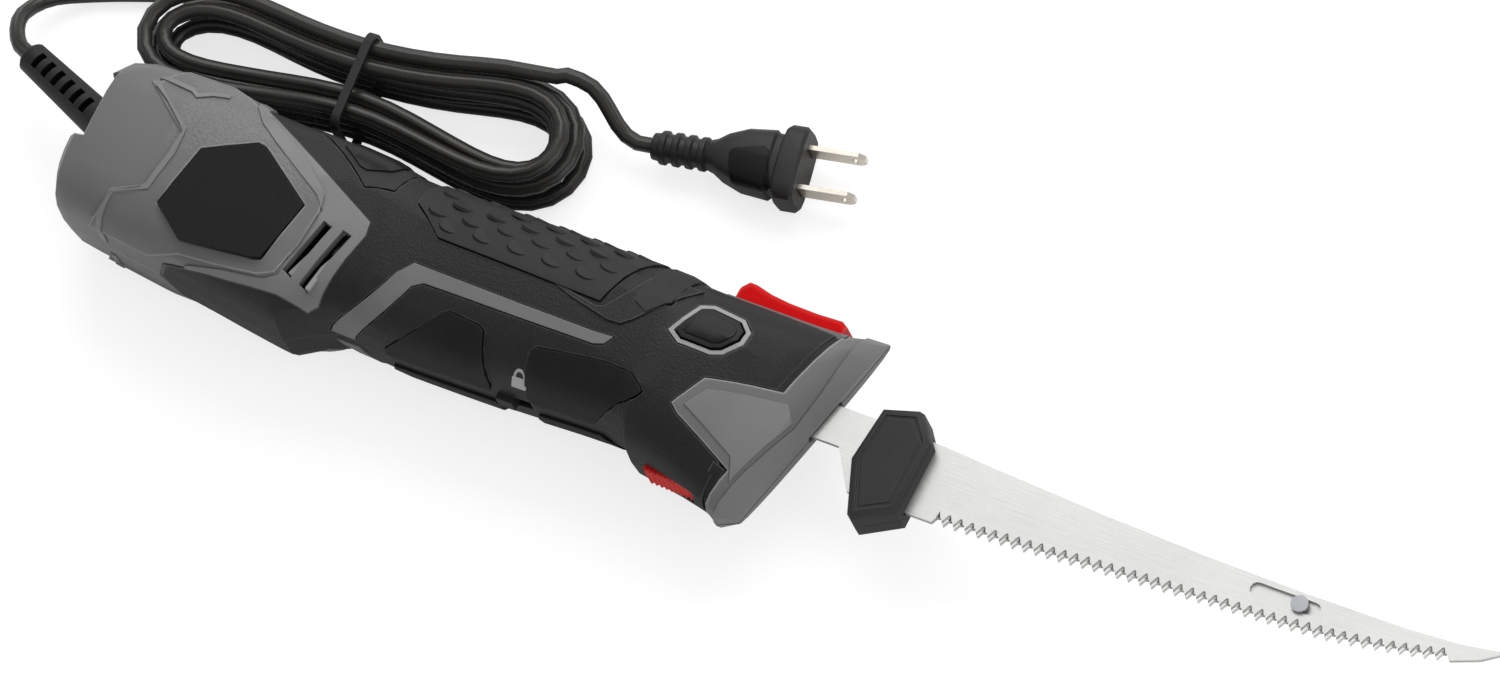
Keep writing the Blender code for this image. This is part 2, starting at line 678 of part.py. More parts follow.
def collar():
    """Grey nose collar, one piece round both shells, with the slot for the blades."""
    piece = make(full_loft(steps_between(206, NOSE_TIP, 8.0), 0.0), "nose_collar",
                 GREY_COVER)
    boolean(piece, make(prism(COLLAR_OUTLINE, -60, 60), "collar_outline", cutter=True),
            'INTERSECT')
    boolean(piece, make(full_loft(steps_between(202, SHELL_FRONT + GAP, 8.0), -COLLAR_WALL),
                        "collar_core", cutter=True))
    boolean(piece, make(blade_way(), "collar_slot", cutter=True))
    return piece


# Side-view outlines of the controls
BUTTON_SHAPE = [(201.6, 6.8), (205.6, 15.6), (208.4, 17.0), (217.4, 16.4), (219.8, 14.2),
                (219.6, 11.0), (216.2, 6.6), (213.6, 5.4), (204.2, 5.2)]
BAR_START = 207.8
BAR_END = 241.8
BAR_TOP = 33.4
BAR_BASE = 20.5
BAR_HALF_START = 9.2
BAR_HALF_END = 5.0
SWITCH_REAR = 209.0
SWITCH_FRONT = 223.0
SWITCH_TOP = BAR_BASE - SWITCH_TRAVEL - GAP
SWITCH_LOW = SWITCH_TOP - 4.6
SWITCH_HALF = 5.0
TRIGGER_START = 204.1
TRIGGER_END = 221.0
TRIGGER_HALF = 4.6
TRIGGER_TOP = -24.5
TRIGGER_LOW = -30.6
TRIGGER_RIBS = 10
RIB_DEPTH = 0.7
LOCK_START = 151.5
LOCK_LENGTH = 5.5
LOCK_HALF = 2.6
FOOT_PLACE = (229.8, -24.7)
FOOT_RADIUS = 3.2


def full_loft(stations, offset):
    """Both sides of the handle as one closed solid."""
    bm = half_loft(stations, offset, seam=0.0)
    flat = [f for f in bm.faces if all(abs(v.co.z) < 1e-5 for v in f.verts)]
    bmesh.ops.delete(bm, geom=flat, context='FACES')
    twin = bm.copy()
    bmesh.ops.scale(twin, vec=(1, 1, -1), verts=twin.verts)
    bmesh.ops.reverse_faces(twin, faces=twin.faces)
    join(bm, twin)
    bmesh.ops.remove_doubles(bm, verts=bm.verts, dist=0.001)
    return bm


def bar_outline(grow):
    """Top view of the thumb switch: it narrows with the nose."""
    return grown([(BAR_START, -BAR_HALF_START), (BAR_END, -BAR_HALF_END),
                  (BAR_END, BAR_HALF_END), (BAR_START, BAR_HALF_START)], grow)


def upright(outline, low, high):
    """An outline given in X and Z, drawn out along Y."""
    bm = prism(outline, low, high)
    for v in bm.verts:
        v.co = Vector((v.co.x, v.co.z, v.co.y))
    return bm


def release_buttons():
    """A six-sided button in a light rim on each side; it lets the blades go."""
    floor = min(section(x)[2] for x in (204, 216)) - 5.6 - PRESS_TRAVEL
    well = make(prism(grown(BUTTON_SHAPE, SLIDE_GAP), floor - PRESS_TRAVEL - SLIDE_GAP, 39),
                "button_well", cutter=True)
    seat = make(prism(grown(BUTTON_SHAPE, SLIDE_GAP + 1.3 + GAP), 4, 40), "rim_seat",
                cutter=True)
    boolean(seat, make(half_loft(steps_between(190, 232, 8.0), -TRIM_DEPTH - GAP, seam=-1),
                       "rim_floor", cutter=True))
    boolean(seat, well, 'UNION')
    boolean(SHELL, seat)
    rim = make(prism(grown(BUTTON_SHAPE, SLIDE_GAP + 1.3), 4, 40), "button_rim_upper",
               LIGHT_TRIM)
    boolean(rim, make(half_loft(steps_between(190, 232, 8.0), TRIM_PROUD, seam=-1),
                      "rim_top", cutter=True), 'INTERSECT')
    boolean(rim, make(half_loft(steps_between(190, 232, 8.0), -TRIM_DEPTH, seam=-1),
                      "rim_under", cutter=True))
    boolean(rim, make(prism(grown(BUTTON_SHAPE, SLIDE_GAP), 3, 41), "rim_well",
                      cutter=True))
    centre = (210.5, 11.0, floor)
    body = prism(BUTTON_SHAPE, floor, 40)
    button = make(body, "release_button_upper", SOFT_BLACK, at=centre)
    boolean(button, make(half_loft(steps_between(190, 232, 8.0), 1.0, seam=-1),
                         "button_top", cutter=True), 'INTERSECT')
    mirrored(rim, "button_rim_lower", LIGHT_TRIM)
    mirrored(button, "release_button_lower", SOFT_BLACK)


def thumb_switch():
    """Red bar along the top; pressed down it closes the switch under it."""
    middle = (BAR_START + BAR_END) / 2
    bm = upright(bar_outline(0.0), BAR_BASE, BAR_TOP)
    top = [e for e in bm.edges if all(abs(v.co.y - BAR_TOP) < 0.01 for v in e.verts)]
    bmesh.ops.bevel(bm, geom=top, offset=1.8, segments=3, profile=0.5, affect='EDGES',
                    material=-1)
    make(bm, "thumb_switch", RED_PLASTIC, at=(middle, BAR_BASE, 0))
    opening = make(upright(bar_outline(SLIDE_GAP), 17.9, 49.0), "bar_opening", cutter=True)
    seat = make(upright(bar_outline(SLIDE_GAP + 1.2 + GAP), 12.0, 50.0), "trim_seat",
                cutter=True)
    boolean(seat, make(full_loft(steps_between(196, 241, 8.0), -TRIM_DEPTH - GAP),
                       "trim_floor", cutter=True))
    boolean(seat, opening, 'UNION')
    boolean(SHELL, seat)
    boolean(COLLAR, seat)
    trim = make(upright(bar_outline(SLIDE_GAP + 1.2), 12.0, 50.0), "switch_trim", LIGHT_TRIM)
    boolean(trim, make(full_loft(steps_between(196, 241, 8.0), TRIM_PROUD), "trim_top",
                       cutter=True), 'INTERSECT')
    boolean(trim, make(full_loft(steps_between(196, 241, 8.0), -TRIM_DEPTH), "trim_under",
                       cutter=True))
    boolean(trim, make(upright(bar_outline(SLIDE_GAP), 11.0, 51.0), "trim_well",
                       cutter=True))
    make(box((SWITCH_REAR, SWITCH_LOW, -SWITCH_HALF), (SWITCH_FRONT, SWITCH_TOP, SWITCH_HALF)),
         "switch_body", NATURAL_NYLON)


def finger_trigger():
    """Red ribbed trigger in the finger hollow under the nose."""
    length = TRIGGER_END - TRIGGER_START
    pitch = length / TRIGGER_RIBS

    def low(x):
        return TRIGGER_LOW - 0.6 * (x - TRIGGER_START) / length

    outline = [(TRIGGER_END, TRIGGER_TOP), (TRIGGER_START, TRIGGER_TOP)]
    for i in range(TRIGGER_RIBS):
        x = TRIGGER_START + i * pitch
        outline += [(x, low(x)), (x + pitch * 0.5, low(x) - RIB_DEPTH)]
    outline.append((TRIGGER_END, low(TRIGGER_END)))
    middle = TRIGGER_START + length / 2
    make(prism(outline, -TRIGGER_HALF, TRIGGER_HALF), "finger_trigger", RED_PLASTIC,
         at=(middle, TRIGGER_TOP, 0))


def lock_slide():
    """Small slide under the grip, beside the padlock sign; it locks the switch."""
    low = GRIP_BOTTOM - 1.6
    wall_inside = GRIP_BOTTOM + WALL + 1.0
    knob = box((LOCK_START, low, -LOCK_HALF), (LOCK_START + LOCK_LENGTH, wall_inside + 1.5,
                                               LOCK_HALF))
    slide = make(knob, "lock_slide", SOFT_BLACK, at=(LOCK_START + LOCK_LENGTH / 2, low, 0))
    flange = make(box((LOCK_START - 3, wall_inside + GAP, -LOCK_HALF - 2.5),
                      (LOCK_START + LOCK_LENGTH + 3, wall_inside + 1.8, LOCK_HALF + 2.5)),
                  "lock_flange", cutter=True)
    boolean(slide, flange, 'UNION')


def side_foot():
    """Rubber foot on the nose's lower side."""
    make(cylinder((*FOOT_PLACE, -13.6), (*FOOT_PLACE, -6.0), FOOT_RADIUS, sides=20),
         "nose_foot", SOFT_BLACK)
    seat = make(cylinder((*FOOT_PLACE, -30), (*FOOT_PLACE, -6.0 + GAP), FOOT_RADIUS + GAP,
                         sides=18), "foot_seat", cutter=True)
    boolean(COLLAR, seat)


# Drive layout
WHEEL_RADIUS = WHEEL_TEETH * TOOTH_PITCH / math.tau
CENTRE_DISTANCE = WHEEL_RADIUS + WORM_PITCH_RADIUS
WHEEL_X = WORM_X
WHEEL_Y = AXIS_Y - CENTRE_DISTANCE
BORE = SHAFT_RADIUS + GAP
YOKE_LOW = HUB_HEIGHT + PIN_HEIGHT + GAP
YOKE_HIGH = YOKE_LOW + PLATE_THICK
TANG_LOW = -2.5
TANG_HIGH = 9.2
CARRIER_LOW = GAP / 2 + BLADE_THICK + GAP
CARRIER_HIGH = CARRIER_LOW + PLATE_THICK
CARRIER_FRONT = 221.0
FRAME_REAR = 114.0
FRAME_FRONT = 148.0
FRAME_LOW = -19.2
FRAME_HIGH = 16.0


def ring(start, end, inner, outer, name, finish, sides=24):
    """A turned ring on the motor's axis."""
    bm = turned([(start, inner), (start, outer), (end, outer), (end, inner)], sides)
    return make(moved(bm, y=AXIS_Y), name, finish)


def tile(start, end, inner, outer, low, high, steps):
    """A curved tile about X, such as a magnet, between two angles in degrees."""
    outline = (arc((0, 0), outer, low, high, steps)
               + list(reversed(arc((0, 0), inner, low, high, steps))))
    bm = prism(outline, start, end)
    for v in bm.verts:
        v.co = Vector((v.co.z, v.co.x, v.co.y))
    return moved(bm, y=AXIS_Y)


def motor():
    """Brushed motor: can, magnets, end cap, brushes and the turning parts."""
    axis = (0.0, AXIS_Y, 0.0)
    can = turned([(CAN_REAR, CAN_RADIUS), (CAN_FRONT, CAN_RADIUS), (CAN_FRONT, BORE),
                  (CAN_FRONT - CAN_WALL, BORE), (CAN_FRONT - CAN_WALL, CAN_RADIUS - CAN_WALL),
                  (CAN_REAR, CAN_RADIUS - CAN_WALL)], 32)
    make(moved(can, y=AXIS_Y), "motor_can", DARK_STEEL)
    magnet_out = CAN_RADIUS - CAN_WALL - GAP
    for name, low, high in (("magnet_top", -55, 55), ("magnet_bottom", 125, 235)):
        make(tile(38, 70, magnet_out - 2.6, magnet_out, low, high, 8), name, FERRITE)
    cap = turned([(19, BORE), (19, 15.5), (CAN_REAR - GAP, 15.5), (CAN_REAR - GAP, 13.4),
                  (21, 13.4), (21, BORE)], 28)
    make(moved(cap, y=AXIS_Y), "motor_end_cap", SOFT_BLACK)
    for name, side in (("brush_top", 1), ("brush_bottom", -1)):
        ends = sorted((AXIS_Y + side * 4.9, AXIS_Y + side * 13.1))
        make(box((25, ends[0], -2), (29, ends[1], 2)), name, FERRITE)
    shaft = worm_body()
    rod = make(cylinder((SHAFT_REAR, AXIS_Y, 0), (WORM_X + WORM_LENGTH / 2 + 7, AXIS_Y, 0),
                        SHAFT_RADIUS, sides=16), "shaft_rod", cutter=True)
    worm = make(shaft, "worm_shaft", DARK_STEEL, at=axis)
    boolean(worm, rod, 'UNION')
    poles = []
    for i in range(5):
        turn = 72 * i
        poles += arc((0, 0), 12.4, turn - 26, turn + 26, 5)
        poles += [tuple(7.6 * f(math.radians(turn + 33)) for f in (math.cos, math.sin)),
                  tuple(7.6 * f(math.radians(turn + 39)) for f in (math.cos, math.sin))]
    core = prism(poles, 43, 65)
    for v in core.verts:
        v.co = Vector((v.co.z, v.co.x, v.co.y))
    core = make(moved(core, y=AXIS_Y), "armature_core", DARK_STEEL, at=axis)
    boolean(core, make(cylinder((40, AXIS_Y, 0), (70, AXIS_Y, 0), BORE, sides=16),
                       "core_bore", cutter=True))
    for name, low, high in (("rear_winding", 36, 42.7), ("front_winding", 65.3, 72)):
        bulge = turned([(low, BORE), (low, 6.5), ((low + high) / 2, 10.6), (high, 9.6),
                        (high, BORE)] if low < 50 else
                       [(low, BORE), (low, 9.6), ((low + high) / 2, 10.6), (high, 6.5),
                        (high, BORE)], 16)
        make(moved(bulge, y=AXIS_Y), name, COPPER)
    ring(24, 30, BORE, 4.6, "commutator", COPPER, 20)
    fan()


def fan():
    """Cooling fan behind the vents: a hub with slanted blades."""
    half = FAN_WIDTH / 2
    hub = turned([(FAN_X - half, BORE), (FAN_X - half, 5.0), (FAN_X - 1.6, 5.0),
                  (FAN_X - 1.6, FAN_RADIUS - 4), (FAN_X, FAN_RADIUS - 4), (FAN_X, 5.0),
                  (FAN_X + half, 5.0), (FAN_X + half, BORE)], 16)
    made = make(moved(hub, y=AXIS_Y), "cooling_fan", NATURAL_NYLON, at=(0, AXIS_Y, 0))
    blades = bmesh.new()
    for i in range(FAN_BLADES):
        blade = box((-half, 4.4, -0.5), (half, FAN_RADIUS, 0.5))
        bmesh.ops.rotate(blade, matrix=Matrix.Rotation(math.radians(24), 3, 'Y'),
                         verts=blade.verts)
        bmesh.ops.rotate(blade, matrix=Matrix.Rotation(math.tau * i / FAN_BLADES, 3, 'X'),
                         verts=blade.verts)
        join(blades, moved(blade, x=FAN_X, y=AXIS_Y))
    boolean(made, make(blades, "fan_blades", cutter=True), 'UNION')


def worm_body():
    """Single-start worm with its thread, about X at the motor's axis."""
    sides = 9
    core = WORM_PITCH_RADIUS - THREAD_HEIGHT
    crest = WORM_PITCH_RADIUS + THREAD_HEIGHT
    turns = 2 * round((WORM_LENGTH / TOOTH_PITCH - 1) / 2)
    count = turns * sides
    start = WORM_X - turns * TOOTH_PITCH / 2
    flank, top = TOOTH_PITCH * 0.32, TOOTH_PITCH * 0.10

    def at(bm, k, x, radius):
        angle = math.tau * k / sides
        return bm.verts.new((start + k * TOOTH_PITCH / sides + x,
                             radius * math.cos(angle), radius * math.sin(angle)))

    bm = bmesh.new()
    root = [at(bm, k, -TOOTH_PITCH / 2, core) for k in range(count + sides + 1)]
    thread = [[at(bm, k, x, r) for x, r in ((-flank, core), (-top, crest), (top, crest),
                                            (flank, core))] for k in range(count + 1)]
    rows = [[root[k]] + thread[k] + [root[k + sides]] for k in range(count + 1)]
    for now, after in zip(rows, rows[1:]):
        for i in range(5):
            bm.faces.new((now[i], after[i], after[i + 1], now[i + 1]))
    for loop in (root[:sides + 1] + thread[0][::-1],
                 root[count:][::-1] + thread[count]):
        centre = bm.verts.new((loop[0].co.x, 0, 0))
        for a, b in zip(loop, loop[1:] + loop[:1]):
            bm.faces.new((a, b, centre))
    return moved(bm, y=AXIS_Y)


def worm_wheel():
    """Wheel driven by the worm, with two hubs and two opposite crank pins."""
    outline = []
    for i in range(WHEEL_TEETH):
        for share, radius in ((-0.27, -1.2), (-0.13, 0.75), (0.13, 0.75), (0.27, -1.2)):
            angle = math.tau * (i + share) / WHEEL_TEETH
            r = WHEEL_RADIUS + radius
            outline.append((r * math.cos(angle), r * math.sin(angle)))
    half = WHEEL_WIDTH / 2
    lean = TOOTH_PITCH / (math.tau * WORM_PITCH_RADIUS) / WHEEL_RADIUS
    bm = prism(outline, -half, half)
    for v in bm.verts:
        v.co.rotate(Matrix.Rotation(lean * v.co.z, 3, 'Z'))
    moved(bm, x=WHEEL_X, y=WHEEL_Y)
    wheel = make(bm, "worm_wheel", NATURAL_NYLON, at=(WHEEL_X, WHEEL_Y, 0))
    hub = cylinder((WHEEL_X, WHEEL_Y, -HUB_HEIGHT), (WHEEL_X, WHEEL_Y, HUB_HEIGHT),
                   HUB_RADIUS, sides=20)
    boolean(wheel, make(hub, "wheel_hub", cutter=True), 'UNION')
    for side in (1, -1):
        x, y = crank_place(side)
        pin = cylinder((x, y, side * (HUB_HEIGHT - 1)), (x, y, side * (HUB_HEIGHT + PIN_HEIGHT)),
                       PIN_RADIUS, sides=16)
        boolean(wheel, make(pin, "crank_pin_%s" % ("upper" if side > 0 else "lower"),
                            cutter=True), 'UNION')


def crank_place(side):
    """Where a crank pin stands in the rest pose, upper side first."""
    along = -side * REST_PHASE
    across = side * math.sqrt(CRANK_RADIUS ** 2 - REST_PHASE ** 2)
    return WHEEL_X + along, WHEEL_Y + across


def gear_frame():
    """Two nylon frame halves that hold the wheel, the worm's bushes and the carriers."""
    low, high = WHEEL_WIDTH / 2 + GAP, HUB_HEIGHT - GAP
    bm = box((FRAME_REAR, FRAME_LOW, low), (FRAME_FRONT, 2.7, high))
    frame = make(bm, "gear_frame_upper", NATURAL_NYLON)
    walls = []
    for x in (FRAME_REAR, FRAME_FRONT - 3.8):
        walls.append(box((x, FRAME_LOW, GAP / 2), (x + 3.8, FRAME_HIGH, YOKE_LOW - 0.6)))
    rails = [box((FRAME_FRONT - 0.5, y, GAP / 2), (206, y + 2.4, 5.4))
             for y in (TANG_LOW - 3.2, TANG_HIGH + 0.6)]
    for number, piece in enumerate(walls + rails):
        boolean(frame, make(piece, "frame_part_%d" % number, cutter=True), 'UNION')
    boolean(frame, make(cylinder((WHEEL_X, WHEEL_Y, 0), (WHEEL_X, WHEEL_Y, 20),
                                 HUB_RADIUS + GAP, sides=20), "hub_seat", cutter=True))
    boolean(frame, make(cylinder((100, AXIS_Y, 0), (170, AXIS_Y, 0), BORE, sides=20),
                        "shaft_way", cutter=True))
    mirrored(frame, "gear_frame_lower", NATURAL_NYLON)


def carriers():
    """Two sliding plates: a yoke over the crank pin behind, the blade's catch in front."""
    for name, side in (("upper", 1), ("lower", -1)):
        pin_x, _ = crank_place(side)
        body = make(box((WHEEL_X - 13, -15, YOKE_LOW), (159.5, TANG_HIGH, YOKE_HIGH)),
                    "blade_carrier_" + name, DARK_STEEL)
        parts = [box((156, TANG_LOW, CARRIER_LOW), (159.5, TANG_HIGH, YOKE_HIGH)),
                 box((156, TANG_LOW, CARRIER_LOW), (CARRIER_FRONT, TANG_HIGH, CARRIER_HIGH)),
                 cylinder((218, 3.4, CARRIER_LOW + 0.5), (218, 3.4, GAP / 2), 1.5, sides=14)]
        for number, piece in enumerate(parts):
            if side < 0:
                bmesh.ops.scale(piece, vec=(1, 1, -1), verts=piece.verts)
            boolean(body, make(piece, "carrier_%s_%d" % (name, number), cutter=True),
                    'UNION')
        if side < 0:
            body.data.transform(Matrix.Scale(-1.0, 4, (0.0, 0.0, 1.0)))
            body.data.flip_normals()
        reach = CRANK_RADIUS + PIN_RADIUS + 0.5
        width = PIN_RADIUS + GAP
        boolean(body, make(box((pin_x - width, WHEEL_Y - reach, -20),
                               (pin_x + width, WHEEL_Y + reach, 20)),
                           "yoke_slot_" + name, cutter=True))


# Blade outline in the side view, along the spine and along the edge
SPINE = [(BLADE_REAR, TANG_HIGH - 0.2), (262, TANG_HIGH), (284, 8.5), (304, 7.3), (338, 5.6),
         (372, 4.5), (405, 4.2), (438, 4.7), (455, 5.8)]
BLADE_TIP = (BLADE_TIP_X, 8.1)
BELLY = [(SERRATION_START, -14.6), (314, -13.6), (346, -11.3), (379, -9.3), (411, -7.5),
         (442, -2.7), (SERRATION_END, 0.0)]
TANG = [(263.0, -14.6), (254.6, TANG_LOW), (BLADE_REAR, TANG_LOW)]
SLOT_Y = 0.4
PEG_PLACE = (218.0, 3.4)
GUARD_OUTLINE = [(263.9, 11.4), (274.4, 14.6), (276.2, 14.2), (282.5, 6.3), (282.2, -17.0),
                 (270.2, -23.9), (268.2, -22.5), (261.7, -6.0)]
RIVET_HEAD = 0.8


def height_on(points, x):
    """Height of a smooth line through points at a place along the blade."""
    places = [p[0] for p in points]
    values = [p[1] for p in points]
    slopes = tangents(places, values)
    i = 0
    while i < len(places) - 2 and x > places[i + 1]:
        i += 1
    step = places[i + 1] - places[i]
    t = (x - places[i]) / step
    return ((2 * t ** 3 - 3 * t * t + 1) * values[i]
            + (t ** 3 - 2 * t * t + t) * step * slopes[i]
            + (3 * t * t - 2 * t ** 3) * values[i + 1]
            + (t ** 3 - t * t) * step * slopes[i + 1])


def blade_outline():
    """Tang, scalloped edge, tip and spine in one closed outline."""
    outline = list(reversed(TANG))
    outline.append((SERRATION_START - 6, -14.6))
    teeth = round((SERRATION_END - SERRATION_START) / SERRATION_PITCH)
    pitch = (SERRATION_END - SERRATION_START) / teeth
    for i in range(teeth):
        x = SERRATION_START + i * pitch
        for share, depth in ((0.0, 0.0), (0.25, 0.85), (0.6, 1.0)):
            place_x = x + share * pitch
            outline.append((place_x, height_on(BELLY, place_x) + depth * SERRATION_DEPTH))
    outline += [BELLY[-1], (462.6, 3.4), BLADE_TIP]
    return outline + list(reversed(SPINE))


def blades():
    """Two long toothed blades lying on each other, held together by a sliding rivet."""
    for name, side in (("upper", 1), ("lower", -1)):
        low, high = sorted((side * GAP / 2, side * (GAP / 2 + BLADE_THICK)))
        blade = make(prism(blade_outline(), low, high), "blade_" + name, STEEL,
                     at=(BLADE_REAR, 0, 0), smooth=0)
        boolean(blade, make(cylinder((*PEG_PLACE, -4), (*PEG_PLACE, 4), 1.8, sides=16),
                            "peg_hole_" + name, cutter=True))
        if side > 0:
            half = SLOT_WIDTH / 2
            slot = (arc((SLOT_START + half, SLOT_Y), half, 90, 270, 6)
                    + arc((SLOT_END - half, SLOT_Y), half, -90, 90, 6))
            tool = prism(slot, -2, 3)
        else:
            tool = cylinder((RIVET_X, SLOT_Y, -4), (RIVET_X, SLOT_Y, 4), RIVET_NECK + GAP,
                            sides=16)
        boolean(blade, make(tool, "rivet_way_" + name, cutter=True))
    face = GAP / 2 + BLADE_THICK + GAP
    profile = [(-face - RIVET_HEAD, 0.0), (-face - RIVET_HEAD, RIVET_RADIUS),
               (-face, RIVET_RADIUS), (-face, RIVET_NECK), (face, RIVET_NECK),
               (face, RIVET_RADIUS), (face + RIVET_HEAD, RIVET_RADIUS),
               (face + RIVET_HEAD, 0.0)]
    bm = turned_closed(profile, 14)
    for v in bm.verts:
        v.co = Vector((v.co.y + RIVET_X, v.co.z + SLOT_Y, v.co.x))
    make(bm, "blade_rivet", DARK_STEEL)


def turned_closed(profile, sides):
    """A solid turned about X from a profile that starts and ends on the axis."""
    bm = bmesh.new()
    line = [bm.verts.new((x, r, 0.0)) for x, r in profile]
    edges = [bm.edges.new((a, b)) for a, b in zip(line, line[1:])]
    bmesh.ops.spin(bm, geom=edges + line, axis=(1, 0, 0), cent=(0, 0, 0), angle=math.tau,
                   steps=sides, use_merge=True)
    bmesh.ops.remove_doubles(bm, verts=bm.verts, dist=0.001)
    return bm


def guards():
    """A black hexagonal guard on each blade, wrapped over its spine and edge."""
    floor = GAP / 2 + BLADE_THICK + GAP
    for name, side, grow in (("upper", 1, 0.0), ("lower", -1, 0.6)):
        outline = grown(GUARD_OUTLINE, grow)
        low, high = sorted((side * GAP / 2, side * (floor + GUARD_THICK - 1.2)))
        bm = prism(outline, low, high)
        outer = side * (floor + GUARD_THICK - 1.2)
        rim = [e for e in bm.edges if all(abs(v.co.z - outer) < 0.01 for v in e.verts)]
        bmesh.ops.bevel(bm, geom=rim, offset=1.5, segments=2, profile=0.5, affect='EDGES',
                        material=-1)
        guard = make(bm, "blade_guard_" + name, SOFT_BLACK, at=(272, 0, 0))
        pocket_low, pocket_high = sorted((-side * 2.0, side * floor))
        boolean(guard, make(box((250, -15.0, pocket_low), (300, TANG_HIGH + GAP, pocket_high)),
                            "guard_pocket_" + name, cutter=True))


# Power cord, from the strain relief to the hank behind the handle and on to the plug
FLOOR = -BADGE_FACE + CORD_DIAMETER / 2 + 0.1
RELIEF_TIP = Vector((-34.0, 27.0, -5.0))
RELIEF_BASE = Vector((NOTCH_X, 11.0, 0.0))
RELIEF_RADII = (8.2, 5.9, 4.9)
RELIEF_FLARE = 7.0
RELIEF_RIBS = 6
HANK_CENTRE = (63.5, 53.4)
HANK_TURN = 3.6
HANK_HALF_LENGTH = 62.0
HANK_WAIST = 3.0
HANK_BULGE = 19.5
HANK_REAR_BULGE = (18.0, 11.0)
HANK_START = -0.12
HANK_END = 6.14
PLUG_CENTRE = Vector((178.0, 75.2, -17.0))
PLUG_TURN = 10.6
LEAD_POINTS = [Vector(p) for p in ((-43.5, 34.5, -9.0), (-46.0, 41.5, -13.5),
                                   (-42.5, 50.0, -18.6), (-33.0, 56.5, -22.0),
                                   (-18.0, 62.5, FLOOR), (-2.0, 67.5, FLOOR))]
TAIL_POINTS = [Vector(p) for p in ((120.5, 78.4, -6.2), (131.5, 78.0, -8.4),
                                   (142.0, 71.0, -14.8))]


def hank_point(turn):
    """Centre of the cord in the hank after a number of loops."""
    per_layer = HANK_LOOPS / CORD_LAYERS
    within = turn / per_layer
    layer = min(max(math.floor(within), 0), CORD_LAYERS - 1)
    share = within - layer
    inward = share if layer % 2 == 0 else 1 - share
    out = CORD_STEP * per_layer * (1 - inward)
    climb = 0.0
    for k in range(1, CORD_LAYERS):
        t = min(max((turn - k * per_layer) / 0.5 + 0.5, 0.0), 1.0)
        climb += CORD_RISE * t * t * (3 - 2 * t)
    angle = math.radians(90) - math.tau * turn

    def core(a):
        share = 0.5 + 0.5 * math.sin(a)
        upper, lower = HANK_REAR_BULGE
        bulge = HANK_BULGE if math.cos(a) > 0 else lower + (upper - lower) * share
        return Vector((HANK_HALF_LENGTH * math.cos(a),
                       math.sin(a) * (HANK_WAIST + bulge * math.cos(a) ** 2)))

    here = core(angle)
    along = core(angle - 0.01) - core(angle + 0.01)
    normal = Vector((-along.y, along.x)).normalized()
    flat = here + normal * out
    turn_by = math.radians(HANK_TURN)
    x = HANK_CENTRE[0] + flat.x * math.cos(turn_by) - flat.y * math.sin(turn_by)
    y = HANK_CENTRE[1] + flat.x * math.sin(turn_by) + flat.y * math.cos(turn_by)
    near = max(0.0, 1 - (flat.x / 30) ** 2)
    return Vector((x, y, FLOOR + climb + WAIST_RAISE * near * near))


def smooth_route(ends, step):
    """Points a step apart on a smooth curve, with the first and last stretch straight."""
    points = ends[1:-1]
    fine = []
    for a, b, c, d in zip(ends, ends[1:], ends[2:], ends[3:]):
        for k in range(24):
            t = k / 24
            fine.append(0.5 * (2 * b + (c - a) * t + (2 * a - 5 * b + 4 * c - d) * t * t
                               + (3 * b - a - 3 * c + d) * t ** 3))
    fine.append(points[-1])
    lengths = [0.0]
    for a, b in zip(fine, fine[1:]):
        lengths.append(lengths[-1] + (b - a).length)
    count = max(2, round(lengths[-1] / step))
    result, i = [], 0
    for k in range(count + 1):
        want = lengths[-1] * k / count
        while i < len(fine) - 2 and lengths[i + 1] < want:
            i += 1
        span = lengths[i + 1] - lengths[i]
        result.append(fine[i].lerp(fine[i + 1], (want - lengths[i]) / span if span else 0))
    straight = (ends[0] - ends[1]).length + (ends[-1] - ends[-2]).length
    return [ends[0]] + result + [ends[-1]], lengths[-1] + straight


def tube(name, points, radius, finish, resolution):
    """A cord as a poly curve with filled caps."""
    curve = bpy.data.curves.new(name, 'CURVE')
    curve.dimensions = '3D'
    curve.bevel_depth = radius * MM
    curve.bevel_resolution = resolution
    curve.use_fill_caps = True
    spline = curve.splines.new('POLY')
    spline.points.add(len(points) - 1)
    for place_on, point in zip(spline.points, points):
        place_on.co = (*(point * MM), 1.0)
    curve.materials.append(finish)
    return place(bpy.data.objects.new(name, curve))


def cord():
    """Strain relief, lead, hank, tail, tie and plug."""
    radius = CORD_DIAMETER / 2
    leave = (RELIEF_TIP - RELIEF_BASE).normalized()
    turns = HANK_END - HANK_START
    count = round(turns * 24)
    hank = [hank_point(HANK_START + turns * i / count) for i in range(count + 1)]
    into = (hank[1] - hank[0]).normalized()
    out = (hank[-1] - hank[-2]).normalized()
    hank = [hank[0] - into * CORD_DIAMETER] + hank + [hank[-1] + out * CORD_DIAMETER]
    tube("cord_hank", hank, radius, CORD_VINYL, 1)
    first = RELIEF_TIP + leave * GAP
    last = hank[0] - into * GAP
    lead = [first, first + leave * CORD_DIAMETER] + LEAD_POINTS
    lead += [last - into * CORD_DIAMETER, last]
    lead_points, lead_length = smooth_route(lead, CORD_DIAMETER * 2.2)
    tube("cord_lead", lead_points, radius, CORD_VINYL, 2)
    plug_way = Vector((math.cos(math.radians(PLUG_TURN)), math.sin(math.radians(PLUG_TURN)),
                       0.0))
    sleeve = PLUG_CENTRE - plug_way * PLUG_REAR - plug_way * GAP
    start = hank[-1] + out * GAP
    tail = [start, start + out * CORD_DIAMETER] + TAIL_POINTS
    tail += [sleeve - plug_way * CORD_DIAMETER, sleeve]
    tail_points, tail_length = smooth_route(tail, CORD_DIAMETER * 2.2)
    tube("cord_tail", tail_points, radius, CORD_VINYL, 2)
    hank_length = sum((b - a).length for a, b in zip(hank, hank[1:]))
    print("cord length %.0f mm, hank gap to itself %.2f mm"
          % (lead_length + hank_length + tail_length, hank_gap(hank)))
    tie()
    strain_relief()
    plug(plug_way)


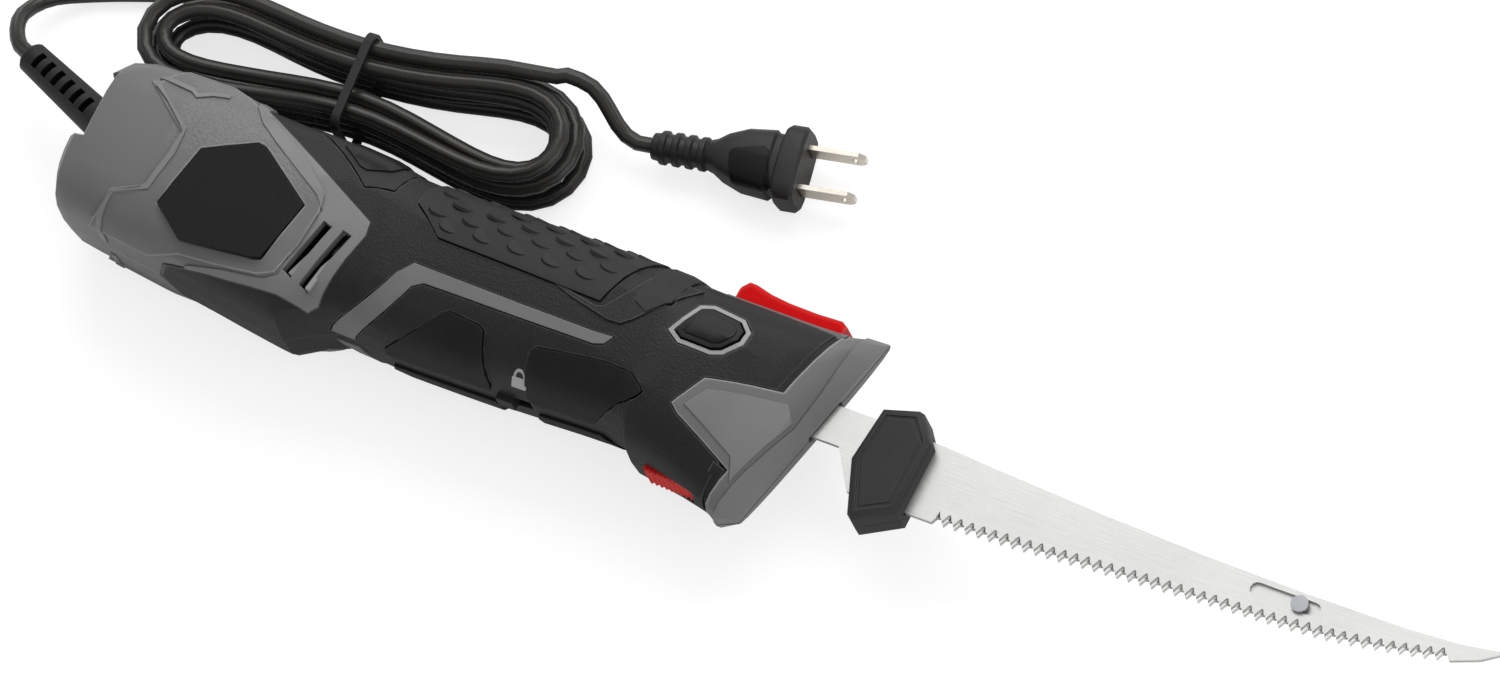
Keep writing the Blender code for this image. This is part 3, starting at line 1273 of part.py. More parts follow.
def hank_gap(points):
    """Least gap between turns of the hank, measured on its points."""
    least = 1e9
    skip = 6
    for i in range(len(points) - 1):
        a, b = points[i], points[i + 1]
        for j in range(i + skip, len(points) - 1):
            c, d = points[j], points[j + 1]
            for p, q, r in ((a, c, d), (b, c, d), (c, a, b), (d, a, b)):
                line = r - q
                t = min(max((p - q).dot(line) / line.length_squared, 0.0), 1.0)
                least = min(least, (p - q - line * t).length)
    return least - CORD_DIAMETER


def tie():
    """Band that holds the hank together at its waist."""
    low = -BADGE_FACE + 0.15
    top = FLOOR + WAIST_RAISE + CORD_RISE * (CORD_LAYERS - 1) + CORD_DIAMETER / 2 + GAP * 2
    half = HANK_WAIST + CORD_STEP * HANK_LOOPS / CORD_LAYERS + CORD_DIAMETER / 2 + GAP * 2

    def rounded(grow):
        corner = 3.0 + grow
        y, bottom, lid = half + grow, low + TIE_THICK - grow, top + grow
        outline = []
        for sy, z, start in ((1, lid, 0), (-1, lid, 90), (-1, bottom, 180), (1, bottom, 270)):
            centre = (sy * (y - corner), z - corner if z > bottom else z + corner)
            outline += arc(centre, corner, start, start + 90, 4)
        return outline

    outer = prism(rounded(TIE_THICK), -TIE_WIDTH / 2, TIE_WIDTH / 2)
    inner = prism(rounded(0.0), -TIE_WIDTH, TIE_WIDTH)
    turn_by = Matrix.Rotation(math.radians(HANK_TURN), 3, 'Z')
    for bm in (outer, inner):
        for v in bm.verts:
            v.co = turn_by @ Vector((v.co.z, v.co.x, v.co.y))
        moved(bm, x=HANK_CENTRE[0], y=HANK_CENTRE[1])
    band = make(outer, "cord_tie", SOFT_BLACK)
    boolean(band, make(inner, "tie_opening", cutter=True))


def aimed(bm, start, way):
    """Turn a body drawn along X so that it starts at a point and points along a way."""
    turn_by = Vector(way).to_track_quat('X', 'Z').to_matrix().to_4x4()
    bmesh.ops.transform(bm, matrix=Matrix.Translation(start) @ turn_by, verts=bm.verts)
    return bm


def strain_relief():
    """Slotted sleeve where the cord leaves the handle, with a collar inside the shells."""
    way = RELIEF_TIP - RELIEF_BASE
    length = way.length
    base_radius, middle_radius, tip_radius = RELIEF_RADII
    profile = [(-6.0, 0.0), (-6.0, base_radius), (1.0, base_radius),
               (RELIEF_FLARE, middle_radius), (length - 1.0, tip_radius),
               (length, tip_radius - 0.9), (length, 0.0)]
    relief = make(aimed(turned_closed(profile, 18), RELIEF_BASE, way), "strain_relief",
                  SOFT_BLACK)
    boolean(relief, make(box((NOTCH_X - GAP, -10, -20), (30, 40, 20)), "relief_base_cut",
                         cutter=True))
    neck = turned_closed([(NOTCH_X - 2.0, 0.0), (NOTCH_X - 2.0, NECK_RADIUS),
                          (NECK_END - 2.6, NECK_RADIUS), (NECK_END - 2.6, NECK_RADIUS + 1.8),
                          (NECK_END, NECK_RADIUS + 1.8), (NECK_END, 0.0)], 20)
    boolean(relief, make(moved(neck, y=RELIEF_BASE.y), "relief_neck", cutter=True), 'UNION')
    slots = bmesh.new()
    pitch = (length - RELIEF_FLARE - 7.0) / RELIEF_RIBS
    for i in range(RELIEF_RIBS):
        s = RELIEF_FLARE + 3.0 + pitch * (i + 0.25)
        for low, high in ((0.9, 9.0), (-9.0, -0.9)):
            join(slots, box((s, low, -2.6), (s + pitch * 0.5, high, 2.6)))
    bmesh.ops.rotate(slots, matrix=Matrix.Rotation(math.radians(90), 3, 'X'),
                     verts=slots.verts)
    tool = make(aimed(slots, RELIEF_BASE, way), "relief_slots", cutter=True)
    boolean(relief, tool)


def plug(way):
    """Two-pin plug: ribbed sleeve, narrow body, groove, wide flange and pins."""
    rows = [(-PLUG_REAR, 4.0, 4.0, 2.0)]
    for i in range(4):
        s = -PLUG_REAR + 2.2 + i * 4.1
        rows += [(s, 4.3, 4.3, 2.0), (s + 0.4, 5.1, 5.1, 2.0), (s + 2.0, 5.2, 5.2, 2.0),
                 (s + 2.4, 4.4, 4.4, 2.0)]
    rows += [(-6.2, 5.2, 5.0, 2.2), (-3.0, 7.2, 6.2, 2.6), (3.0, 9.4, 7.2, 3.0),
             (11.6, 10.2, 7.3, 3.4), (12.4, 9.4, 6.5, 3.4), (14.2, 9.4, 6.5, 3.4),
             (14.8, 11.6, 7.7, 3.6), (16.0, 12.4, 7.9, 3.8), (20.6, 12.4, 7.9, 3.8),
             (21.6, 11.6, 7.2, 3.8)]
    bm = bmesh.new()
    loops = []
    for s, half_y, half_z, power in rows:
        loop = []
        for i in range(16):
            a = math.tau * i / 16
            c, n = math.cos(a), math.sin(a)
            loop.append(bm.verts.new((s, half_y * math.copysign(abs(c) ** (2 / power), c),
                                      half_z * math.copysign(abs(n) ** (2 / power), n))))
        loops.append(loop)
    for near, far in zip(loops, loops[1:]):
        for i in range(16):
            j = (i + 1) % 16
            bm.faces.new((near[i], near[j], far[j], far[i]))
    bm.faces.new(loops[0])
    bm.faces.new(loops[-1])
    body = make(aimed(bm, PLUG_CENTRE, way), "plug_body", CORD_VINYL)
    for name, side in (("left", 1), ("right", -1)):
        y = side * PRONG_SPACING / 2
        half_y, half_z = PRONG_THICK / 2, PRONG_WIDTH / 2
        end = 21.6 + PRONG_LENGTH
        outline = [(12.0, -half_z), (end - 2.0, -half_z), (end, -half_z + 1.6),
                   (end, half_z - 1.6), (end - 2.0, half_z), (12.0, half_z)]
        pin = prism(outline, y - half_y, y + half_y)
        hole = cylinder((end - 3.4, y - 3, 0), (end - 3.4, y + 3, 0), 1.55, sides=14)
        for v in pin.verts:
            v.co = Vector((v.co.x, v.co.z, v.co.y))
        prong = make(aimed(pin, PLUG_CENTRE, way), "prong_" + name, BRASS)
        boolean(prong, make(aimed(hole, PLUG_CENTRE, way), "prong_hole_" + name,
                            cutter=True))
        pocket = box((12.0 - GAP, y - half_y - GAP, -half_z - GAP),
                     (30, y + half_y + GAP, half_z + GAP))
        boolean(body, make(aimed(pocket, PLUG_CENTRE, way), "prong_seat_" + name,
                           cutter=True))


def screws():
    """Four screws through the lower half shell into the bosses of the upper one."""
    under = -SCREW_SEAT - GAP
    head = under - HEAD_HEIGHT
    for number, (x, y) in enumerate(SCREW_PLACES, 1):
        bm = turned_closed([(head, 0.0), (head, HEAD_RADIUS), (under, HEAD_RADIUS),
                            (under, SCREW_RADIUS), (SCREW_REACH - 1.4, SCREW_RADIUS),
                            (SCREW_REACH, 0.5), (SCREW_REACH, 0.0)], 12)
        for v in bm.verts:
            v.co = Vector((v.co.y + x, v.co.z + y, v.co.x))
        screw = make(bm, "screw_%d" % number, DARK_STEEL)
        for k, turn in enumerate((20, 110)):
            bar = box((-1.7, -0.35, head - 1), (1.7, 0.35, head + 1.2))
            bmesh.ops.rotate(bar, matrix=Matrix.Rotation(math.radians(turn), 3, 'Z'),
                             verts=bar.verts)
            boolean(screw, make(moved(bar, x=x, y=y), "recess_%d_%d" % (number, k),
                                cutter=True))


SHELL = housing_upper()
COVER = rear_cover_upper()
COLLAR = collar()
release_buttons()
thumb_switch()
trims()
badges()
finger_trigger()
lock_slide()
side_foot()
motor()
worm_wheel()
gear_frame()
carriers()
blades()
guards()
cord()
screws()
LAST_CUT = boolean(SHELL, openings("openings_lower", True))
mirrored(SHELL, "housing_lower", BLACK_SHELL)
LAST_CUT.object = openings("openings_upper", False)
boolean(COVER, LAST_CUT.object)
mirrored(COVER, "rear_cover_lower", GREY_COVER)
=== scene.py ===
"""Dresses the electric fillet knife for its picture: finishes, fine pieces, floor, lamps, camera.

The knife lies on its side. It is drawn from its own axes: x runs from the rear to the blade tip,
y from the belly to the back, and z from the parting plane between the two shells, all in
millimetres. place() turns such a point into metres in the frame of the model.
"""
import json
import math

import bmesh
import bpy
from mathutils import Matrix, Vector
from mathutils.bvhtree import BVHTree

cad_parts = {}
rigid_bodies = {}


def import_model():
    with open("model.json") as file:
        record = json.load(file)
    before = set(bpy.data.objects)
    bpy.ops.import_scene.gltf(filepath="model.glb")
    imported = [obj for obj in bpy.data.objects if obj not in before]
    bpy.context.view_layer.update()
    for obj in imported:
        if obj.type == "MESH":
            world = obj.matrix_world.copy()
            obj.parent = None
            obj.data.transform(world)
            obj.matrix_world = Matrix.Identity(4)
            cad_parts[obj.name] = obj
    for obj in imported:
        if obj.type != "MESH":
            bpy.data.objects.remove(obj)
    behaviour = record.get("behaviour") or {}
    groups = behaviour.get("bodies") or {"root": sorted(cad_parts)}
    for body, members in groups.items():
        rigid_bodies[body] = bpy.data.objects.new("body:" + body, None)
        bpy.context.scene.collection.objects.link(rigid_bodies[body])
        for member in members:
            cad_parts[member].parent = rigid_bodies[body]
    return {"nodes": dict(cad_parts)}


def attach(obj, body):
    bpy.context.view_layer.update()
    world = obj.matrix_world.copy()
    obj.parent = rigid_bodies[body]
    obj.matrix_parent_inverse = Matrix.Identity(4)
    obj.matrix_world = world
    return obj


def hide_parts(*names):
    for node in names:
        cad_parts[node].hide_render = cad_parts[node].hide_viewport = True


for spare in list(bpy.data.objects):
    bpy.data.objects.remove(spare)
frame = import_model()
nodes = frame["nodes"]

REAR_TO_MIDDLE = 216.862
AXIS_TO_MIDDLE = 1.15
PARTING_HEIGHT = 25.0
MM = 0.001
MM_PER_METRE = 1000


def place(x, y, z=0.0):
    """A point on the knife in millimetres, as metres in the frame."""
    return Vector((x - REAR_TO_MIDDLE, y + AXIS_TO_MIDDLE, z + PARTING_HEIGHT)) * MM


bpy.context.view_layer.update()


# Camera

PICTURE_WIDTH = 1500
PIXELS_PER_MM = 3.42
SENSOR_WIDTH = 36.0
LENS = 600.0
SEEN_BETWEEN = (0.05, 30.0)
# The middle of the picture on the knife, and the picture's own directions
LOOKS_AT = place(215.5, 16.7)
RIGHTWARDS = Vector((0.8766, 0.4284, -0.2199))
UPWARDS = Vector((-0.3191, 0.8593, 0.3995))


def camera():
    """A long lens above the belly side, turned so that the knife falls across the picture."""
    data = bpy.data.cameras.new("camera")
    data.lens = LENS
    data.sensor_width = SENSOR_WIDTH
    data.clip_start, data.clip_end = SEEN_BETWEEN
    seen = bpy.data.objects.new("camera", data)
    bpy.context.scene.collection.objects.link(seen)
    backwards = RIGHTWARDS.cross(UPWARDS).normalized()
    across = RIGHTWARDS.normalized()
    up = backwards.cross(across)
    away = PICTURE_WIDTH / PIXELS_PER_MM * MM * LENS / SENSOR_WIDTH
    turn = Matrix((across, up, backwards)).transposed()
    seen.matrix_world = Matrix.Translation(LOOKS_AT + backwards * away) @ turn.to_4x4()
    bpy.context.scene.camera = seen


camera()


# Finishes

# How sharply the painted highlight along an edge sets in
EDGE_GAIN = 6.0
BEVEL_SAMPLES = 4


class Amount:
    """A number that varies over a surface. Plain arithmetic on it adds the Math nodes."""

    def __init__(self, finish, socket):
        self.finish = finish
        self.socket = socket

    def maths(self, operation, *values):
        """The result of a Math node."""
        node = self.finish.node("ShaderNodeMath", {"operation": operation}, *values)
        return Amount(self.finish, node.outputs[0])

    def __add__(self, other):
        return self.maths("ADD", self, other)

    def __radd__(self, other):
        return self.maths("ADD", other, self)

    def __sub__(self, other):
        return self.maths("SUBTRACT", self, other)

    def __rsub__(self, other):
        return self.maths("SUBTRACT", other, self)

    def __mul__(self, other):
        return self.maths("MULTIPLY", self, other)

    def __rmul__(self, other):
        return self.maths("MULTIPLY", other, self)

    def __truediv__(self, other):
        return self.maths("DIVIDE", self, other)

    def __abs__(self):
        return self.maths("ABSOLUTE", self)

    def sine(self):
        """Its sine."""
        return self.maths("SINE", self)

    def above(self, edge, soft):
        """0 below an edge and 1 above it, blended over a soft width."""
        node = self.finish.node("ShaderNodeMapRange", {"interpolation_type": "SMOOTHSTEP"},
                                self, edge - soft / 2, edge + soft / 2, 0.0, 1.0)
        return Amount(self.finish, node.outputs[0])

    def least(self, other):
        """The smaller of two numbers."""
        return self.maths("MINIMUM", self, other)

    def most(self, other):
        """The larger of two numbers."""
        return self.maths("MAXIMUM", self, other)


class Finish:
    """One material: a surface shader and the nodes that vary it."""

    def __init__(self, name, constants):
        self.material = bpy.data.materials.new(name)
        self.material.use_nodes = True
        self.tree = self.material.node_tree
        self.surface = self.tree.nodes["Principled BSDF"]
        for word, value in constants.items():
            self.surface.inputs[word].default_value = value

    def node(self, kind, settings, *values):
        """A node with its settings made first and then its sockets, in their order."""
        node = self.tree.nodes.new(kind)
        for word, value in settings.items():
            if word == "stops":
                self.stops(node.color_ramp, value)
            else:
                setattr(node, word, value)
        for socket, value in zip((s for s in node.inputs if s.enabled), values):
            self.feed(socket, value)
        return node

    def feed(self, socket, value):
        """Link or set one socket; None leaves it as it is."""
        if isinstance(value, Amount):
            value = value.socket
        if isinstance(value, bpy.types.NodeSocket):
            self.tree.links.new(value, socket)
        elif value is not None:
            socket.default_value = value

    def stops(self, ramp, stops):
        """Colours of a ramp at their places."""
        while len(ramp.elements) < len(stops):
            ramp.elements.new(0.5)
        for element, (where, colour) in zip(ramp.elements, stops):
            element.position = where
            element.color = colour

    def point(self):
        """Where on the object this is, in metres."""
        return self.node("ShaderNodeTexCoord", {}).outputs["Object"]

    def knife(self):
        """x, y and z of this place on the knife's own axes, in millimetres."""
        split = self.node("ShaderNodeSeparateXYZ", {}, self.point())
        x, y, z = (Amount(self, socket) * MM_PER_METRE for socket in split.outputs)
        return x + REAR_TO_MIDDLE, y - AXIS_TO_MIDDLE, z - PARTING_HEIGHT

    def noise(self, size, detail=2.0, rough=0.5, where=None):
        """Cloudy noise whose marks are about that many millimetres across, around 0.5."""
        node = self.node("ShaderNodeTexNoise", {}, where or self.point())
        node.inputs["Scale"].default_value = MM_PER_METRE / size
        node.inputs["Detail"].default_value = detail
        node.inputs["Roughness"].default_value = rough
        return Amount(self, node.outputs[0])

    def cells(self, size):
        """Distance from the nearest of scattered points that many millimetres apart."""
        node = self.node("ShaderNodeTexVoronoi", {}, self.point())
        node.inputs["Scale"].default_value = MM_PER_METRE / size
        return Amount(self, node.outputs[0])

    def mixed(self, share, first, second):
        """A colour between two."""
        node = self.node("ShaderNodeMix", {"data_type": "RGBA"}, share, first, second)
        return node.outputs[2]

    def set(self, word, value):
        """Feed a socket of the surface shader."""
        self.feed(self.surface.inputs[word], value)

    def edges(self, radius):
        """1 along the edges of a moulding and 0 on its faces: where a painted highlight goes."""
        soft = self.node("ShaderNodeBevel", {"samples": BEVEL_SAMPLES}, radius * MM)
        hard = self.node("ShaderNodeNewGeometry", {})
        facing = self.node("ShaderNodeVectorMath", {"operation": "DOT_PRODUCT"},
                           soft.outputs[0], hard.outputs["Normal"])
        return ((1 - Amount(self, facing.outputs["Value"])) * EDGE_GAIN).least(1.0)

    def relief(self, height, depth, rounded=0.0):
        """A bump of that depth in millimetres, over edges rounded by that radius."""
        node = self.node("ShaderNodeBump", {})
        node.inputs["Distance"].default_value = depth * MM
        self.feed(node.inputs["Height"], height)
        if rounded:
            edge = self.node("ShaderNodeBevel", {"samples": BEVEL_SAMPLES}, rounded * MM)
            self.feed(node.inputs["Normal"], edge.outputs[0])
        self.set("Normal", node.outputs[0])


def grey(level, warm=0.0):
    """A grey colour, a little warm or cool."""
    return (level * (1 + warm), level, level * (1 - warm), 1.0)


# Cord

# The hank is wound in layers of loops, each loop a CORD_STEP inside or outside the one before
CORD_DIAMETER = 4.8
CORD_STEP = 6.0
CORD_RISE = 5.3
CORD_LAYERS = 4
CORD_FLOOR = 0.1 + CORD_DIAMETER / 2 - PARTING_HEIGHT
RELIEF_BASE = Vector((5.0, 11.0, 0.0))
RELIEF_TIP = Vector((-34.0, 27.0, -5.0))
LEAD = [(-43.5, 34.5, -9.0), (-46.0, 41.5, -13.5), (-42.5, 50.0, -18.6), (-33.0, 56.5, -22.0),
        (-18.0, 62.5, CORD_FLOOR), (-2.0, 67.5, CORD_FLOOR)]
TAIL = [(120.5, 78.4, -6.2), (131.5, 78.0, -8.4), (142.0, 71.0, -14.8)]
HANK_CENTRE = (63.5, 53.4)
HANK_TURN = 3.6
HANK_HALF_LENGTH = 62.0
HANK_WAIST = 3.0
HANK_BULGE = 19.5
HANK_REAR_BULGE = (18.0, 11.0)
HANK_LOOPS = 6
HANK_START = -0.12
HANK_END = 6.14
WAIST_RAISE = 1.9
WAIST_REACH = 30
POINTS_PER_LOOP = 48
POINT_STEP = 4.0
PARTS_PER_SPAN = 24
SECTION_POINTS = 24
GROOVE_DEPTH = 0.24
GROOVE_WIDTH = 0.28
PLUG_CENTRE = Vector((178.0, 75.2, -17.0))
PLUG_TURN = 10.6
PLUG_REAR = 25.6


def hank_line(angle):
    """A point of the hank's innermost turn, about its middle."""
    upper, lower = HANK_REAR_BULGE
    share = 0.5 + 0.5 * math.sin(angle)
    bulge = HANK_BULGE if math.cos(angle) > 0 else lower + (upper - lower) * share
    return Vector((HANK_HALF_LENGTH * math.cos(angle),
                   math.sin(angle) * (HANK_WAIST + bulge * math.cos(angle) ** 2)))


def hank_point(turn):
    """Where the cord is in the hank after a number of loops."""
    per_layer = HANK_LOOPS / CORD_LAYERS
    within = turn / per_layer
    layer = min(max(math.floor(within), 0), CORD_LAYERS - 1)
    share = within - layer
    inward = share if layer % 2 == 0 else 1 - share
    out = CORD_STEP * per_layer * (1 - inward)
    climb = 0.0
    for k in range(1, CORD_LAYERS):
        t = min(max((turn - k * per_layer) / 0.5 + 0.5, 0.0), 1.0)
        climb += CORD_RISE * t * t * (3 - 2 * t)
    angle = math.radians(90) - math.tau * turn
    along = hank_line(angle - 0.01) - hank_line(angle + 0.01)
    flat = hank_line(angle) + Vector((-along.y, along.x)).normalized() * out
    turned = Matrix.Rotation(math.radians(HANK_TURN), 2) @ flat
    near = max(0.0, 1 - (flat.x / WAIST_REACH) ** 2)
    return Vector((*(turned + Vector(HANK_CENTRE)), CORD_FLOOR + climb + WAIST_RAISE * near * near))


def eased(ends, step):
    """Points a step apart on a smooth curve that starts and ends straight."""
    fine = []
    for a, b, c, d in zip(ends, ends[1:], ends[2:], ends[3:]):
        for k in range(PARTS_PER_SPAN):
            t = k / PARTS_PER_SPAN
            fine.append(0.5 * (2 * b + (c - a) * t + (2 * a - 5 * b + 4 * c - d) * t * t
                               + (3 * b - a - 3 * c + d) * t ** 3))
    fine.append(ends[-2])
    gone, result = step, []
    for a, b in zip(fine, fine[1:]):
        gone += (b - a).length
        if gone >= step:
            result.append(b)
            gone = 0.0
    return [ends[0]] + result + [ends[-1]]


def cord_route():
    """The cord's centre line from inside the strain relief to inside the plug's sleeve."""
    leave = (RELIEF_TIP - RELIEF_BASE).normalized()
    turns = HANK_END - HANK_START
    count = round(turns * POINTS_PER_LOOP)
    hank = [hank_point(HANK_START + turns * i / count) for i in range(count + 1)]
    into = (hank[1] - hank[0]).normalized()
    out = (hank[-1] - hank[-2]).normalized()
    before = [RELIEF_TIP - leave, RELIEF_TIP + leave * CORD_DIAMETER]
    before += [Vector(p) for p in LEAD] + [hank[0] - into * 2 * CORD_DIAMETER, hank[0]]
    plug_way = Vector((math.cos(math.radians(PLUG_TURN)), math.sin(math.radians(PLUG_TURN)), 0))
    sleeve = PLUG_CENTRE - plug_way * PLUG_REAR
    after = [hank[-1], hank[-1] + out * 2 * CORD_DIAMETER] + [Vector(p) for p in TAIL]
    after += [sleeve - plug_way * CORD_DIAMETER, sleeve + plug_way]
    return eased(before, POINT_STEP)[:-1] + hank + eased(after, POINT_STEP)[1:]


def cord_section():
    """Outline of a twin cord across its length, with a groove down each face."""
    curve = bpy.data.curves.new("cord_section", "CURVE")
    curve.dimensions = "2D"
    line = curve.splines.new("POLY")
    line.points.add(SECTION_POINTS - 1)
    line.use_cyclic_u = True
    for i, point in enumerate(line.points):
        turn = math.tau * i / SECTION_POINTS
        out = 1.0 - GROOVE_DEPTH * math.exp(-(math.cos(turn) / GROOVE_WIDTH) ** 2)
        point.co = (out * math.cos(turn), out * math.sin(turn), 0.0, 1.0)
    line.use_smooth = True
    return bpy.data.objects.new("cord_section", curve)


def cord():
    """The free cord, from inside the strain relief to inside the plug's sleeve, in place of the
    model's cord parts.
    """
    curve = bpy.data.curves.new("cord", "CURVE")
    curve.dimensions = "3D"
    curve.bevel_mode = "OBJECT"
    curve.bevel_object = cord_section()
    curve.use_fill_caps = True
    route = [place(*point) for point in cord_route()]
    line = curve.splines.new("POLY")
    line.points.add(len(route) - 1)
    for point, where in zip(line.points, route):
        point.co = (*where, 1.0)
        point.radius = CORD_DIAMETER / 2 * MM
    line.use_smooth = True
    piece = bpy.data.objects.new("cord", curve)
    bpy.context.scene.collection.objects.link(piece)
    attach(piece, "handle")
    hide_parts("cord_lead", "cord_hank", "cord_tail")
    tuple(place(*RELIEF_TIP))
    return piece


CORD = cord()


# Plastics and metals

# Where along the knife the toothed edge starts and ends, and how far its scallops lie apart
SERRATIONS = (291.0, 454.0)
SCALLOP = 3.7
SCALLOP_HEIGHT = 1.35
GRIND_HEIGHT = 2.2
# Height of the toothed edge, as factors of the powers of the way past its first tooth in 100 mm
EDGE_CURVE = (-14.3785, -1.6728, 30.2047, -42.3941, 23.2525, -3.7796)
PEBBLED_X = (29.0, 92.0)
PEBBLED_ABOVE_Y = 6.0
SHELL_TONES = ((0.0070, 0.0072, 0.0076, 1.0), (0.0200, 0.0203, 0.0210, 1.0))
COVER_TONES = ((0.142, 0.142, 0.145, 1.0), (0.192, 0.192, 0.196, 1.0))
RED_TONES = ((0.56, 0.003, 0.004, 1.0), (0.68, 0.006, 0.008, 1.0))
# Painted highlight along the red plastic's edges
RED_HIGHLIGHT = (0.86, 0.12, 0.10, 1.0)
STEEL_TONES = ((0.60, 0.60, 0.585, 1.0), (0.80, 0.80, 0.785, 1.0))
# Painted highlight on the hollow-ground scallops
GROUND_HIGHLIGHT = (0.92, 0.92, 0.91, 1.0)
# Copper with painted shade between the turns and lighter on their crowns
WIRE_SHADED_TONES = ((0.30, 0.10, 0.03, 1.0), (0.72, 0.32, 0.13, 1.0))
VINYL_LEVEL = 0.024


def moulded(name, level, grain, depth, roughness, warm=0.0, shine=0.4):
    """Moulded plastic: spark-eroded grain, faint clouding, and edges rounded a little."""
    finish = Finish(name, {"Specular IOR Level": shine})
    fine = finish.noise(grain, 3.0, 0.6)
    pits = finish.cells(grain * 1.6)
    cloud = finish.noise(38.0, 3.0)
    finish.relief(fine * 0.6 + pits * 0.8, depth, 0.35)
    finish.set("Base Color", finish.mixed(cloud.above(0.5, 0.5) * 0.7 + fine * 0.3,
                                          grey(level * 0.88, warm), grey(level * 1.14, warm)))
    finish.set("Roughness", roughness - 0.06 + fine * 0.08 + cloud * 0.06)
    return finish.material


def black_shell():
    """Charcoal nylon of the half shells: grained, rubbed in places, with a painted highlight along
    its edges.
    """
    finish = Finish("shell_black_nylon", {"Specular IOR Level": 0.3})
    fine = finish.noise(0.55, 3.0, 0.62)
    pits = finish.cells(0.75)
    cloud = finish.noise(30.0, 3.0)
    rubbed = finish.noise(9.0, 4.0, 0.65)
    finish.relief(fine * 0.5 + pits, 0.085, 0.4)
    plain = finish.mixed(fine.above(0.55, 0.35) * 0.6 + cloud * 0.4, *SHELL_TONES)
    # Painted highlight along the edges
    finish.set("Base Color", finish.mixed(finish.edges(0.8), plain, grey(0.10)))
    finish.set("Roughness", 0.40 + fine * 0.12 + rubbed * 0.10)
    return finish.material


def cover_grey():
    """Grey covers: pebbled in the field above the side plate, with a painted highlight along their
    edges.
    """
    finish = Finish("cover_grey_plastic", {"Specular IOR Level": 0.4})
    x, y, _ = finish.knife()
    fine = finish.noise(0.6, 3.0, 0.6)
    field = (y.above(PEBBLED_ABOVE_Y, 9.0) * x.above(PEBBLED_X[0], 5.0)
             * (1 - x.above(PEBBLED_X[1], 10.0)))
    pebble = finish.cells(0.95) * (field * 0.85 + 0.15)
    cloud = finish.noise(45.0, 3.0)
    finish.relief(fine * 0.25 + pebble * 1.3, 0.08, 0.45)
    plain = finish.mixed(pebble.above(0.45, 0.5) * 0.5 + cloud * 0.5, *COVER_TONES)
    # Painted highlight along the edges
    finish.set("Base Color", finish.mixed(finish.edges(1.0), plain, grey(0.42)))
    finish.set("Roughness", 0.34 + fine * 0.12 + cloud * 0.06)
    return finish.material


def rubber(name, level, grain=0.35, shine=0.4):
    """Dull moulded rubber with a fine dry bloom and a painted highlight along its edges."""
    finish = Finish(name, {"Specular IOR Level": shine})
    fine = finish.noise(grain, 4.0, 0.65)
    bloom = finish.noise(14.0, 4.0, 0.6)
    finish.relief(fine, 0.05, 0.35)
    plain = finish.mixed(bloom.above(0.55, 0.5), grey(level), grey(level * 1.7))
    # Painted highlight along the edges
    finish.set("Base Color", finish.mixed(finish.edges(0.5), plain, grey(level * 4.5)))
    finish.set("Roughness", 0.46 + fine * 0.10 + bloom * 0.12)
    return finish.material


def gloss_red(name, roughness):
    """Glossy red plastic with a slight orange-peel skin and a painted highlight along its edges."""
    finish = Finish(name, {"Specular IOR Level": 0.05})
    peel = finish.noise(1.6, 2.0)
    cloud = finish.noise(20.0, 2.0)
    finish.relief(peel, 0.02, 0.8)
    plain = finish.mixed(cloud, *RED_TONES)
    # Painted highlight along the edges
    finish.set("Base Color", finish.mixed(finish.edges(1.2), plain, RED_HIGHLIGHT))
    finish.set("Roughness", roughness + peel * 0.06)
    return finish.material


def blade_steel():
    """Stainless blade: ground lengthwise, with hollow-ground scallops along its edge, a painted
    highlight on the scallops and painted shade in a dark line along their border.
    """
    finish = Finish("blade_stainless", {"Metallic": 1.0})
    x, y, _ = finish.knife()
    where = finish.node("ShaderNodeMapping", {}, finish.point(), None, None, (0.03, 1.0, 1.0))
    drawn = finish.noise(0.35, 3.0, 0.6, where.outputs[0])
    cloud = finish.noise(26.0, 3.0)
    along = (x - SERRATIONS[0]) / 100
    edge = sum((along_power(along, power) * number for power, number in enumerate(EDGE_CURVE)
                if power), EDGE_CURVE[0])
    wave = ((x - SERRATIONS[0]) * (math.tau / SCALLOP)).sine()
    inside = x.above(SERRATIONS[0] + 1, 0.4) * (1 - x.above(SERRATIONS[1] - 1, 0.4))
    height = y - edge - GRIND_HEIGHT - wave * SCALLOP_HEIGHT
    ground = (1 - height.above(0.0, 0.5)) * inside
    # Painted shade: a dark line along the border of the scallops
    line = (1 - abs(height).above(0.28, 0.36)) * inside
    finish.relief(drawn * 0.04 + height.most(-1.4).least(0.0) * inside, 0.5)
    plain = finish.mixed(drawn * 0.6 + cloud * 0.4, *STEEL_TONES)
    # The scallops get the painted highlight, then the dark line of painted shade
    bright = finish.mixed(ground * 0.5, plain, GROUND_HIGHLIGHT)
    finish.set("Base Color", finish.mixed(line * 0.8, bright, grey(0.10)))
    finish.set("Roughness", 0.30 + drawn * 0.14 + cloud * 0.05 - ground * 0.08)
    return finish.material


def along_power(value, power):
    """A value raised to a whole power."""
    result = value
    for _ in range(power - 1):
        result = result * value
    return result


def plain_metal(name, dark, light, roughness):
    """Drawn or turned metal with a fine directionless grain."""
    finish = Finish(name, {"Metallic": 1.0})
    fine = finish.noise(0.3, 3.0, 0.6)
    cloud = finish.noise(8.0, 3.0)
    finish.relief(fine, 0.01, 0.15)
    finish.set("Base Color", finish.mixed(cloud, (*dark, 1.0), (*light, 1.0)))
    finish.set("Roughness", roughness - 0.05 + fine * 0.12 + cloud * 0.05)
    return finish.material


